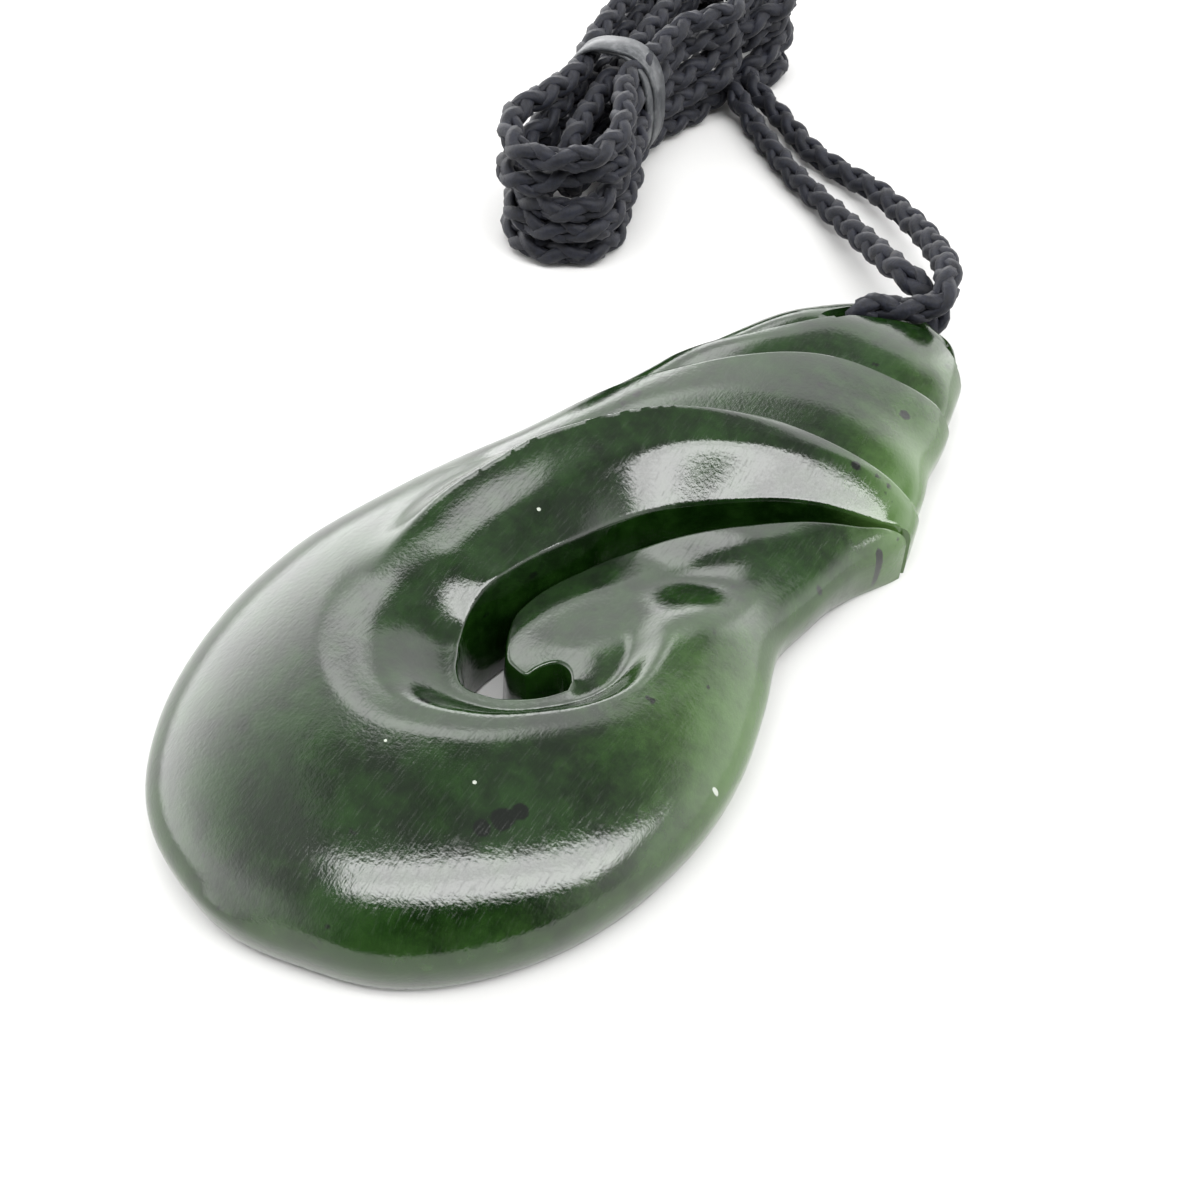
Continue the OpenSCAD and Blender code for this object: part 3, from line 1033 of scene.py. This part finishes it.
@dataclass
class CarvedStone:
    """The nephrite piece: a fine mesh of the form, with walls, slit, flat back and drilled hole.

    A profile's points are an inset and a height. The gaps are those of mesh lines beside an edge or
    crease. A place of painted glow is a place of the plan, its reach and how much paler its colour is
    painted there, standing in for light shining through thinner stone.
    """

    form: StoneForm
    finish: Nephrite = Nephrite()
    grid: float = 0.34
    rim_step: float = 0.25
    line_step: float = 0.2
    own_clearance: float = 0.9
    later_clearance: float = 0.3
    grid_clearance: float = 0.4
    on_line: float = 0.001
    rim_profile: tuple = ((0.05, 2.6), (0.2, 1.8), (0.5, 0.9), (0.85, 0.35), (1.3, 0.0))
    slit_profile: tuple = ((0.0, 3.0), (0.0, 1.5), (0.0, 0.3), (0.09, 0.09), (0.3, 0.0))
    far_undercut: float = -0.4
    far_place: Pair = (-2.2, -9.5)
    far_reach: float = 3.2
    knob_foot: float = -0.6
    knob_place: Pair = (-0.3, -11.0)
    knob_reach: float = 2.0
    lean_top: float = 7.5
    hole_room: float = 6.0
    hole_least: float = 0.3
    rim_by_lip: Pair = (0.3, 0.05)
    # Painted glow: paler colour near the rim and round these places, standing in for light shining through
    # thinner stone
    rim_glow: Pair = (0.3, 1.5)
    glow_places: tuple = (
        (17.6, 15.5, 5.0, 0.9), (16.5, -9.0, 8.0, 0.55), (14.0, 21.0, 5.0, 0.4), (12.0, 30.0, 5.0, 0.3),
    )
    sharp_angle: float = 38.0
    hole_d: float = 3.1
    hole_sides: int = 48
    hole_past: float = 5.0
    hole_front: Triple = (3.4, 34.7, 4.8)
    hole_end: Triple = (5.6, 38.6, 1.8)
    rim_gaps: tuple[float, ...] = (0.0, 0.02, 0.06, 0.13, 0.24, 0.4, 0.62, 0.9)
    lip_gaps: tuple[float, ...] = (0.0, 0.04, 0.1, 0.18, 0.3, 0.5)
    crease_gaps: tuple[float, ...] = (0.0, 0.05, -0.05, 0.1, -0.1, 0.15, -0.15, 0.3, -0.3)

    def lines(self) -> list[tuple[Points, bool, tuple[float, ...]]]:
        """The lines that the mesh follows.

        Returns:
            For each line its points, whether it is closed, and the gaps of the lines beside it, to its left.
        """
        form = self.form
        rim = evenly(looped(form.outline()), self.rim_step)[:-1]
        upper = evenly(form.upper, self.line_step)[::-1]
        lower = evenly(form.lower, self.line_step)
        creases = [evenly(form.crease(ridge), self.line_step) for ridge in form.ridges]
        return [
            (rim, True, self.rim_gaps),
            (upper, False, self.lip_gaps),
            (lower, False, self.lip_gaps),
            *((crease, False, self.crease_gaps) for crease in creases),
        ]

    def seeds(self) -> tuple[Points, list[tuple[int, int]], Points, Points]:
        """Points and edges that the front's triangles have to keep.

        Returns:
            The points, the edges, the rim's loop and the slit's loop.
        """
        lines = self.lines()
        rim = lines[0][0]
        slit = np.vstack([self.form.upper, self.form.lower[::-1]])
        points, edges, count = [], [], 0
        reach = [max(abs(g) for g in gaps) for _, _, gaps in lines]
        closed_lines = [looped(line) if closed else line for line, closed, _ in lines]
        for i, (line, closed, gaps) in enumerate(lines):
            for gap in gaps:
                moved = beside(line, gap, closed)
                if gap:
                    keep = np.ones(len(moved), bool)
                    for j, other in enumerate(closed_lines):
                        limit = reach[j] * (self.later_clearance if j > i else 1.0)
                        if j == i:
                            limit = self.own_clearance * abs(gap)
                        keep &= line_gap(moved, other)[0] >= limit
                    moved = moved[keep]
                else:
                    n = len(moved)
                    edges += [(count + k, count + (k + 1) % n) for k in range(n if closed else n - 1)]
                points.append(moved)
                count += len(moved)
        x0, y0 = rim.min(axis=0)
        x1, y1 = rim.max(axis=0)
        rows = []
        for n, y in enumerate(np.arange(y0, y1, self.grid * math.sqrt(3.0) / 2.0)):
            xs = np.arange(x0 + self.grid / 2.0 * (n % 2), x1, self.grid)
            rows.append(np.column_stack([xs, np.full(len(xs), y)]))
        filling = np.vstack(rows)
        filling = filling[inside(filling, rim) & ~inside(filling, slit)]
        for line, far in zip(closed_lines, reach):
            filling = filling[line_gap(filling, line)[0] > far + self.grid_clearance * self.grid]
        return np.vstack(points + [filling]), edges, rim, slit

    def build(self) -> bpy.types.Object:
        """Makes the stone.

        Returns:
            The piece, which replaces the CAD stone.
        """
        seeds, edges, rim, slit = self.seeds()
        cut = delaunay_2d_cdt([Vector(p) for p in seeds.tolist()], edges, [], 0, 1e-7)
        plan, triangles = np.array([tuple(v) for v in cut[0]]), np.array(cut[2])
        middles = plan[triangles].mean(axis=1)
        triangles = triangles[inside(middles, rim) & ~inside(middles, slit)]
        used, triangles = np.unique(triangles, return_inverse=True)
        triangles = triangles.reshape(-1, 3)
        plan = plan[used]
        a, b, c = (plan[triangles[:, k]] for k in range(3))
        turn = (b[:, 0] - a[:, 0]) * (c[:, 1] - a[:, 1]) - (b[:, 1] - a[:, 1]) * (c[:, 0] - a[:, 0])
        triangles = np.where(turn[:, None] < 0.0, triangles[:, ::-1], triangles)
        points, faces = self.closed(plan, triangles, self.border(triangles), rim)
        points[:, :2] = self.form.notched(points[:, :2])
        points = points - self.form.middle
        size = points.max(axis=0) - points.min(axis=0)
        # The band's tilted edge stands over the cross lines, whose highest one is the stone's thickness
        size[2] = max(row[4] for row in self.form.sections)
        scale = np.array([self.form.width, self.form.length, self.form.thickness])
        made = mesh_object("greenstone", points * scale / size, faces, self.finish.material())
        self.drill(made, scale / size)
        self.mark_painted_glow(made)
        made.data.set_sharp_from_angle(angle=math.radians(self.sharp_angle))
        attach(made, "root")
        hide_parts("greenstone_hook")
        return made

    def border(self, triangles: Points) -> list[int]:
        """The border of the front's triangles.

        Args:
            triangles: The triangles.

        Returns:
            The loop of points round them, turning left.
        """
        sides = np.concatenate([triangles[:, [0, 1]], triangles[:, [1, 2]], triangles[:, [2, 0]]])
        known = set(map(tuple, sides.tolist()))
        after = {a: b for a, b in known if (b, a) not in known}
        start = next(iter(after))
        loop = [start]
        while after[loop[-1]] != start:
            loop.append(after[loop[-1]])
        logging.info("stone: %d of %d border points in one loop", len(loop), len(after))
        return loop

    def closed(self, plan: Points, triangles: Points, loop: list[int], rim: Points) -> tuple[Points, list]:
        """Gives the front its heights and adds the walls and the back.

        Args:
            plan: The front's points in the plan.
            triangles: The front's triangles.
            loop: The border's points.
            rim: The rim's loop.

        Returns:
            The points and faces of the closed solid.
        """
        edge = plan[loop]
        rim_gap = line_gap(edge, looped(rim))[0]
        upper_gap = line_gap(edge, self.form.upper)[0]
        lip_gap = np.minimum(upper_gap, line_gap(edge, self.form.lower)[0])
        outer = rim_gap < self.on_line
        to_hole = np.hypot(edge[:, 0] - self.hole_end[0], edge[:, 1] - self.hole_end[1])
        rim_reach = np.clip(to_hole / self.hole_room, self.hole_least, 1.0)
        share, least = self.rim_by_lip
        rim_reach = rim_reach * np.minimum(1.0, (share * lip_gap + least) / self.rim_profile[-1][0])
        slit_reach = np.minimum(1.0, rim_gap)
        far = self.far_undercut * closeness(edge, self.far_place, self.far_reach)
        near = self.knob_foot * closeness(edge, self.knob_place, self.knob_reach)
        lean = np.where(upper_gap < self.on_line, far, near) * slit_reach
        inward = beside(edge, 1.0, True) - edge
        parts = [np.column_stack([plan, self.form.front(plan)])]
        faces = triangles.tolist()
        above = np.array(loop)
        below = len(plan) + np.arange(len(loop))
        for (rim_inset, rim_z), (slit_inset, slit_z) in zip(self.rim_profile, self.slit_profile):
            lean_here = lean * (1.0 - slit_z / self.lean_top)
            inset = np.where(outer, rim_inset * rim_reach, slit_inset * slit_reach + lean_here)
            z = np.where(outer, rim_z, slit_z)
            parts.append(np.column_stack([edge + inward * inset[:, None], z]))
            faces += np.stack([above, below, np.roll(below, -1), np.roll(above, -1)], axis=1).tolist()
            above, below = below, below + len(loop)
        faces.append(above[::-1].tolist())
        return np.vstack(parts), faces

    def drill(self, stone: bpy.types.Object, scale: Points) -> None:
        """Cuts the cord's hole through the stone's top end.

        Args:
            stone: The stone, whose mesh is changed.
            scale: How much the stone was stretched along each axis.
        """
        front, end = ((np.array(p) - self.form.middle) * scale for p in (self.hole_front, self.hole_end))
        way = unit(end - front)
        line = np.array([front - self.hole_past * way, end + self.hole_past * way])
        side = unit(np.cross(way, UP))
        up = np.cross(way, side)
        turns = circle(self.hole_sides)[:, None]
        ring = self.hole_d / 2.0 * (np.cos(turns) * side + np.sin(turns) * up)
        points, faces = tube(line[:, None, :] + ring[None], False)
        drill = mesh_object("drill", points, faces, stone.data.materials[0])
        cut = stone.modifiers.new("hole", "BOOLEAN")
        cut.operation, cut.object, cut.solver = "DIFFERENCE", drill, "EXACT"
        done = stone.evaluated_get(bpy.context.evaluated_depsgraph_get())
        mesh = bpy.data.meshes.new_from_object(done)
        stone.modifiers.clear()
        stone.data = mesh
        bpy.data.objects.remove(drill)

    def mark_painted_glow(self, stone: bpy.types.Object) -> None:
        """Keeps on each point how much painted glow its colour gets, from 0 to 1: paler where the stone is
        thinner, standing in for light shining through it.

        Args:
            stone: The stone, whose mesh gets the numbers.
        """
        mesh = stone.data
        points = np.zeros(len(mesh.vertices) * 3, np.float32)
        mesh.vertices.foreach_get("co", points)
        plan = (points.reshape(-1, 3) / MM + self.form.middle)[:, :2]
        # Painted glow near the rim and round the listed places, standing in for light shining through
        # thinner stone
        share, reach = self.rim_glow
        painted_glow = share * np.exp(-line_gap(plan, looped(self.form.outline()))[0] / reach)
        for x, y, reach, share in self.glow_places:
            painted_glow = painted_glow + share * closeness(plan, (x, y), reach)
        attribute = mesh.attributes.new("painted_glow", "FLOAT", "POINT")
        attribute.data.foreach_set("value", np.clip(painted_glow, 0.0, 1.0).astype(np.float32))


# The cord


@dataclass
class Hank:
    """The bundled cord: its outline in its own frame and how its turns lie."""

    middle: Pair = (-32.2, 52.0)
    turn: float = 11.8
    far_lobe: Pair = (3.8, 21.8)
    far_radius: float = 7.8
    height: float = 12.2
    row_height: float = 2.36
    first_row: float = 1.27
    waist_squeeze: float = 0.858
    waist_middle: float = 6.0
    waist_reach: float = 5.0
    rows_a_lap: float = 2.0
    climb_points: float = 5.0
    core_drop: Pair = (1.4, 0.2)
    stray: Triple = (0.45, 0.45, 0.28)
    stray_rows: Pair = (0.9, 3.6)
    stray_seed: int = 5
    lap: tuple = (
        (8.0, 16.8), (10.25, 20.7), (9.5, 25.1), (6.0, 27.95), (1.6, 27.95), (-1.9, 25.1), (-2.65, 20.7),
        (-3.0, 14.5), (-3.2, 8.0), (-2.8, 2.5), (-2.7, -2.5), (-3.2, -8.5), (-3.65, -14.3), (-2.3, -18.1),
        (1.0, -19.45), (4.3, -18.1), (5.65, -14.6), (4.6, -8.5), (2.9, -2.7), (2.8, 2.5), (4.6, 8.5),
        (6.6, 13.2),
    )
    inner_arc: tuple = (
        (7.2, 19.6), (7.9, 22.6), (6.4, 25.2), (3.8, 25.9), (1.2, 25.0), (0.1, 22.2), (0.4, 18.6),
    )
    core: tuple = ((0.3, 14.0), (0.1, 8.0), (0.0, 2.5), (0.0, -2.5), (0.4, -7.5), (0.7, -11.2))
    fold: tuple = ((0.85, -13.1, 8.5), (0.95, -14.2, 7.3), (0.95, -14.4, 5.8), (0.85, -13.3, 4.4))
    first_pass: Pair = (10.5, 8.9)
    second_pass: Pair = (8.2, 3.8)
    flank_foot: Pair = (4.7, 2.5)
    lower_port: float = 0.55
    upper_port: float = 0.68
    port_z: float = 2.2

    def port(self, share: float) -> Points:
        """Where a lead leaves the far lobe's flank.

        Args:
            share: How far up the flank.

        Returns:
            The point in the plan of part.scad.
        """
        head = np.array(self.far_lobe) + np.array([self.far_radius, 0.0])
        foot = np.array(self.flank_foot)
        place = np.array(self.middle) + turned(foot + share * (head - foot), self.turn)
        return np.array([place[0], place[1], self.port_z])

    def height_at(self, y: float, row: float) -> float:
        """Height of a row of turns, which the band squeezes at the waist.

        Args:
            y: The place along the hank.
            row: The whole or broken number of the row.

        Returns:
            The height.
        """
        z = self.first_row + self.row_height * row
        squeeze = math.exp(-((y / self.waist_reach) ** 2))
        waist = self.height / 2.0 + (z - self.waist_middle) * self.waist_squeeze
        return z + (waist - z) * squeeze

    def laps(self, first_row: int, count: int) -> list[list[float]]:
        """Turns of one strand, each two rows above the one before.

        Args:
            first_row: The strand's lowest row.
            count: How many turns it makes.

        Returns:
            The turns' points, in the hank's frame.
        """
        points = []
        n = len(self.lap)
        strays = np.random.default_rng(self.stray_seed + first_row).normal(0.0, self.stray, (count, n, 3))
        for lap in range(count):
            for i, (x, y) in enumerate(np.array(self.lap) + strays[lap, :, :2]):
                row = first_row + self.rows_a_lap * lap
                if lap and i < 3:
                    row -= self.rows_a_lap * (1.0 - float(ease((i + 2.0) / self.climb_points)))
                if lap < count - 1 and i > n - 3:
                    row += self.rows_a_lap * float(ease((i - n + 2.0) / self.climb_points))
                inner = float(self.stray_rows[0] < row < self.stray_rows[1])
                points.append([x, y, self.height_at(y, row) + inner * strays[lap, i, 2]])
        return points

    def middle_pass(self, high: float, low: float) -> list[list[float]]:
        """The way of one strand round inside the far lobe and down the core.

        Args:
            high: Its height where it enters the far lobe.
            low: Its height at the core's near end.

        Returns:
            The points, in the hank's frame.
        """
        line = [*self.inner_arc, *self.core]
        stretch, start = self.core_drop
        drop = ease(np.linspace(0.0, 1.0, len(line)) * stretch - start)
        return [[x, y, high + (low - high) * float(d)] for (x, y), d in zip(line, drop)]

    def strand(self) -> Points:
        """The whole way of the cord through the hank, from the lower port to the upper one.

        Returns:
            The points in the plan of part.scad, in millimetres.
        """
        first = self.laps(0, 3) + self.middle_pass(*self.first_pass)
        second = self.laps(1, 2) + self.middle_pass(*self.second_pass)
        local = np.array([*first, *self.fold, *second[::-1]])
        plan = np.array(self.middle) + turned(local[:, :2], self.turn)
        return np.column_stack([plan, local[:, 2]])


@dataclass
class PlaitedCord:
    """The neck cord: one loop from the drilled hole through the hank and back.

    A strand's swing is how far it lies from the cord's middle and how much that changes, its size
    how high and how wide it is, all in diameters of the cord.
    """

    form: StoneForm
    hank: Hank
    finish: PlaitFinish = PlaitFinish()
    diameter: float = 2.5
    pitch: float = 7.2
    steps_per_pitch: int = 20
    route_steps: int = 12
    strand_sides: int = 6
    strand_swing: Pair = (0.235, 0.065)
    strand_size: Pair = (0.2, 0.27)
    lower_route: tuple = (
        (-22.6, 63.5, 1.3), (-18.2, 59.8, 1.3), (-14.2, 56.7, 1.3), (-8.4, 52.7, 1.7), (-3.2, 48.0, 3.1),
        (0.4, 44.3, 4.5), (2.8, 41.9, 5.4),
    )
    bight_route: tuple = (
        (4.1, 41.1, 5.5), (5.4, 40.8, 5.2), (6.5, 40.7, 4.4), (7.1, 40.6, 3.5), (7.2, 40.5, 2.6),
        (6.8, 40.1, 1.8), (6.1, 39.4, 1.6), (5.4, 38.3, 2.0), (4.8, 37.2, 2.9), (4.2, 36.1, 3.7),
        (3.6, 35.1, 4.5), (3.0, 34.2, 5.3), (2.9, 33.8, 6.0), (3.8, 34.2, 6.4), (4.9, 34.9, 6.4),
        (6.1, 35.5, 6.4), (7.3, 36.1, 6.5), (8.2, 37.1, 6.8), (8.3, 38.5, 7.2), (7.7, 40.2, 7.2),
    )
    upper_route: tuple = (
        (6.6, 42.8, 6.5), (4.4, 46.4, 5.2), (1.2, 50.6, 3.9), (-2.8, 54.8, 2.6), (-6.8, 58.0, 1.8),
        (-11.2, 60.1, 1.3), (-15.6, 62.1, 1.3), (-20.2, 65.6, 1.3),
    )
    hidden_join: int = 9

    def path(self) -> Points:
        """The cord's centre line, which starts and ends inside the drilled hole.

        Returns:
            Points in the row frame, in millimetres.
        """
        corners = [
            *self.bight_route[self.hidden_join :: -1],
            *self.lower_route[::-1],
            self.hank.port(self.hank.lower_port),
            *self.hank.strand(),
            self.hank.port(self.hank.upper_port),
            *self.upper_route[::-1],
            *self.bight_route[: self.hidden_join - 1 : -1],
        ]
        line = refine(np.vstack(corners) - self.form.middle, self.route_steps)
        return evenly(line, self.pitch / self.steps_per_pitch)

    def build(self) -> bpy.types.Object:
        """Makes the plaited cord.

        Returns:
            The piece, one mesh of four plaited strands, which replaces the cord's CAD nodes.
        """
        line = self.path()
        length = np.linalg.norm(np.diff(line, axis=0), axis=1).sum()
        sides, tops = frames(line, UP)
        turns = 2.0 * np.pi * np.arange(len(line)) * (length / (len(line) - 1)) / self.pitch
        points, faces = [], []
        for sign in (1, -1):
            for start in (0.0, math.pi):
                strand_points, strand_faces = tube(self.strand(line, sides, tops, turns, sign, start), False)
                first = len(points) * len(strand_points)
                points.append(strand_points)
                faces += [[i + first for i in f] for f in strand_faces]
        made = mesh_object("neck_cord", np.vstack(points), faces, self.finish.material())
        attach(made, "root")
        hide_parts("cord_bight", "cord_lead_upper", "cord_lead_lower", "cord_hank")
        logging.info("cord: %.0f mm long", length)
        return made

    def strand(
        self, line: Points, sides: Points, tops: Points, turns: Points, sign: int, start: float
    ) -> Points:
        """Rings of one of the plait's four strands.

        Args:
            line: The cord's centre line.
            sides: Its side directions.
            tops: Its top directions.
            turns: How far the plait has turned at each point, in radians.
            sign: The way that the strand winds, 1 or -1.
            start: Its angle at the start.

        Returns:
            The rings' points.
        """
        angle = sign * turns + start
        far, change = self.strand_swing
        reach = self.diameter * (far + change * sign * np.cos(2.0 * turns))
        out = np.cos(angle)[:, None] * sides + np.sin(angle)[:, None] * tops
        centre = line + out * reach[:, None]
        ways = np.gradient(centre, axis=0)
        ways /= np.linalg.norm(ways, axis=1, keepdims=True)
        out = out - ways * (out * ways).sum(axis=1, keepdims=True)
        out /= np.linalg.norm(out, axis=1, keepdims=True)
        flat = np.cross(ways, out)
        round_it = circle(self.strand_sides)[None, :, None]
        high, wide = (self.diameter * size for size in self.strand_size)
        ring = high * np.cos(round_it) * out[:, None] + wide * np.sin(round_it) * flat[:, None]
        return centre[:, None] + ring


@dataclass
class RubberBand:
    """A flat rubber band, wound twice round the hank's waist."""

    form: StoneForm
    hank: Hank
    finish: RubberFinish = RubberFinish()
    waist_width: float = 9.4
    waist_power: float = 2.6
    ribbon_width: float = 2.8
    ribbon_thickness: float = 0.42
    ribbon_bevel: float = 0.12
    rings: int = 360
    spread: float = 1.15
    phase: float = 0.9
    overlap: float = 0.035
    sharp_angle: float = 50.0

    def build(self) -> bpy.types.Object:
        """Makes the band.

        Returns:
            The piece, which replaces the CAD ring.
        """
        half_w = self.waist_width / 2.0 - self.ribbon_thickness
        half_h = self.hank.height / 2.0 - self.ribbon_thickness
        turns = 2.0 * circle(self.rings)
        phase = turns / 2.0 + self.phase
        over = 1.0 + self.overlap * np.sin(phase)
        x, z = (
            half * np.sign(c) * np.abs(c) ** (2.0 / self.waist_power) * over
            for half, c in ((half_w, np.cos(turns)), (half_h, np.sin(turns)))
        )
        local = np.column_stack([x, self.spread * np.cos(phase), z])
        w, t, bevel = self.ribbon_width / 2.0, self.ribbon_thickness / 2.0, self.ribbon_bevel
        outside = [(w, 0.5 * t), (w - bevel, t), (bevel - w, t), (-w, 0.5 * t)]
        corners = outside + [(-a, -b) for a, b in outside]
        rings = []
        for i, p in enumerate(local):
            way = unit(local[(i + 1) % len(local)] - local[i - 1])
            out = np.array([p[0] / half_w**2, 0.0, p[2] / half_h**2])
            out = unit(out - way * (out @ way))
            flat = np.cross(way, out)
            rings.append([p + a * flat + b * out for a, b in corners])
        points, faces = tube(np.array(rings), True)
        plan = np.array(self.hank.middle) + turned(points[:, :2], self.hank.turn)
        placed = np.column_stack([plan, points[:, 2] + self.hank.height / 2.0]) - self.form.middle
        made = mesh_object("rubber_band", placed, faces, self.finish.material())
        made.data.set_sharp_from_angle(angle=math.radians(self.sharp_angle))
        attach(made, "root")
        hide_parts("hank_band")
        return made


# The studio


@dataclass(frozen=True)
class Surroundings:
    """Soft light by direction: pale walls, a dim ceiling, and a wide lamp above the camera.

    Across and nearer are places on a level ceiling one unit above the table, to the right and towards
    the camera, and aside is a place along the back wall. A window's two pairs are the places over which
    it opens and those over which it closes. A wall is its turn and rise in degrees, where it starts to
    show, and its level. A fall or rise is the two places between which it happens, and its size.
    """

    behind: Triple = (-0.545, 0.839, 0.0)
    beside: Triple = (0.839, 0.545, 0.0)
    left_wall: tuple[float, ...] = (-40.0, 5.0, -0.45, 4.9)
    right_wall: tuple[float, ...] = (70.0, 10.0, 0.2, 2.2)
    rest_level: float = 0.08
    least_rise: float = 0.02
    top_fall: Triple = (0.25, 0.85, 0.72)
    aside_from: float = 0.1
    back_aside: tuple[Pair, Pair] = ((-0.42, -0.3), (0.6, 0.9))
    back_near: Pair = (-0.63, -0.58)
    back_right: Pair = (-0.05, 0.2)
    back_level: float = 2.0
    back_rise: Triple = (0.59, 0.67, 3.0)
    back_fall: Triple = (0.66, 0.74, 1.4)
    back_foot: Triple = (0.3, 0.36, 3.0)
    ceiling_across: tuple[Pair, Pair] = ((-0.46, -0.41), (0.95, 1.05))
    ceiling_near: tuple[Pair, Pair] = ((-0.62, -0.57), (0.16, 0.2))
    ceiling_level: float = 0.5
    seams: Triple = (-0.43, -0.05, 0.45)
    seam_fall: float = 0.55
    seam_edge: Pair = (0.01, 0.04)
    lamp_across: tuple[Pair, Pair] = ((-0.46, -0.4), (1.4, 1.9))
    lamp_start: Pair = (0.1, 0.13)
    lamp_end: Pair = (0.53, 0.58)
    lamp_slants: Pair = (0.12, 0.28)
    lamp_level: float = 10.5
    lamp_gap: Pair = (0.265, 0.5)

    def wall(self, way: Value, turn: float, rise: float, start: float, level: float) -> Value:
        """A soft pale wall.

        Args:
            way: The direction of the light.
            turn: The wall's turn from straight behind, to the right, in degrees.
            rise: Its rise over the table.
            start: How near to the wall's own direction its light starts, as a cosine.
            level: Its brightness.

        Returns:
            Its light.
        """
        a, b = math.radians(turn), math.radians(rise)
        flat = math.cos(a) * np.array(self.behind) + math.sin(a) * np.array(self.beside)
        towards = math.cos(b) * flat + math.sin(b) * UP
        return way.nodes.dot(way, towards).above(start, 1.0) * level

    def world(self) -> bpy.types.World:
        """Builds the world.

        Returns:
            The world, whose brightness depends on the direction alone.
        """
        nodes = Nodes(bpy.data.worlds.new("studio"))
        way = nodes.value("ShaderNodeTexCoord", {}, {}, "Generated")
        up = nodes.dot(way, UP)
        above = nodes.maths("MAXIMUM", up, self.least_rise)
        across = nodes.dot(way, self.beside) / above
        nearer = nodes.dot(way, self.behind) / above * -1.0
        level = self.wall(way, *self.left_wall) + self.wall(way, *self.right_wall) + self.rest_level
        level = level * (1.0 - self.part(up, self.top_fall))
        aside = across / (self.aside_from - nearer)
        on_right = aside.above(*self.back_right)
        on_left = 1.0 - on_right
        back = self.part(up, self.back_rise) * on_left + self.back_level
        back = back - self.part(up, self.back_fall) * on_right
        back = back + (self.back_foot[2] - self.part(up, self.back_foot)) * on_left
        there = self.window(aside, *self.back_aside) * (1.0 - nearer.above(*self.back_near))
        level = self.over(level, there, back)
        ceiling = self.window(across, *self.ceiling_across) * self.window(nearer, *self.ceiling_near)
        seams = sum(self.line(across, seam) for seam in self.seams)
        level = self.over(level, ceiling, self.ceiling_level * (1.0 - seams * self.seam_fall))
        slanted = nearer - across * self.lamp_slants[0]
        lamp = slanted.above(*self.lamp_start) * self.window(across, *self.lamp_across)
        lamp = lamp * (1.0 - (nearer - across * self.lamp_slants[1]).above(*self.lamp_end))
        place, share = self.lamp_gap
        lamp_level = self.lamp_level * (1.0 - self.line(slanted, place) * share)
        return nodes.background(self.over(level, lamp, lamp_level))

    @staticmethod
    def part(place: Value, step: Triple) -> Value:
        """A smooth step between two places, up to a level."""
        return place.above(*step[:2]) * step[2]

    @staticmethod
    def window(place: Value, first: Pair, last: Pair) -> Value:
        """Smooth mask that opens over the first pair of places and closes over the last."""
        return place.above(*first) * (1.0 - place.above(*last))

    @staticmethod
    def over(level: Value, part: Value, new: Value) -> Value:
        """The level, replaced by a new one where part is 1."""
        return level * (1.0 - part) + part * new

    def line(self, place: Value, middle: float) -> Value:
        """A narrow line at one place, from 0 beside it to 1."""
        off = place.nodes.maths("ABSOLUTE", place - middle, 0.0)
        return 1.0 - off.above(*self.seam_edge)


@dataclass
class Studio:
    """Table, surroundings and camera."""

    camera_place: Triple = (0.04108, -0.06394, 0.07697)
    camera_aim: Triple = (0.0006, -0.0016, 0.0)
    focal_pixels: float = 1500.0
    long_side_pixels: float = 1201.0
    sensor: float = 36.0
    clip_start: float = 0.005
    table_half: float = 700.0

    def camera(self) -> None:
        """Stands the camera at the photograph's viewing angle."""
        data = bpy.data.cameras.new("camera")
        data.sensor_width = self.sensor
        data.lens = self.focal_pixels / self.long_side_pixels * self.sensor
        data.clip_start = self.clip_start
        made = bpy.data.objects.new("camera", data)
        made.location = self.camera_place
        way = Vector(self.camera_aim) - Vector(self.camera_place)
        made.rotation_euler = way.to_track_quat("-Z", "Y").to_euler()
        bpy.context.scene.collection.objects.link(made)
        bpy.context.scene.camera = made

    def table(self) -> None:
        """Lays the table under the part."""
        points = self.table_half * np.array([[-1, -1, 0], [1, -1, 0], [1, 1, 0], [-1, 1, 0]])
        made = mesh_object("table", points, [[0, 1, 2, 3]], TableFinish().material())

    def light(self) -> None:
        """Puts the surroundings' light in, with plain colours in the picture."""
        scene = bpy.context.scene
        scene.world = Surroundings().world()
        scene.view_settings.view_transform = "Standard"


def main() -> None:
    """Builds the scene, the camera and the cord first."""
    logging.basicConfig(level=logging.INFO, format="%(message)s")
    studio = Studio()
    studio.camera()
    form = StoneForm()
    hank = Hank()
    for piece in (PlaitedCord(form, hank), RubberBand(form, hank), CarvedStone(form)):
        made = piece.build()
        logging.info("%s: %d faces", made.name, len(made.data.polygons))
    studio.table()
    studio.light()


if __name__ == "__main__":
    main()
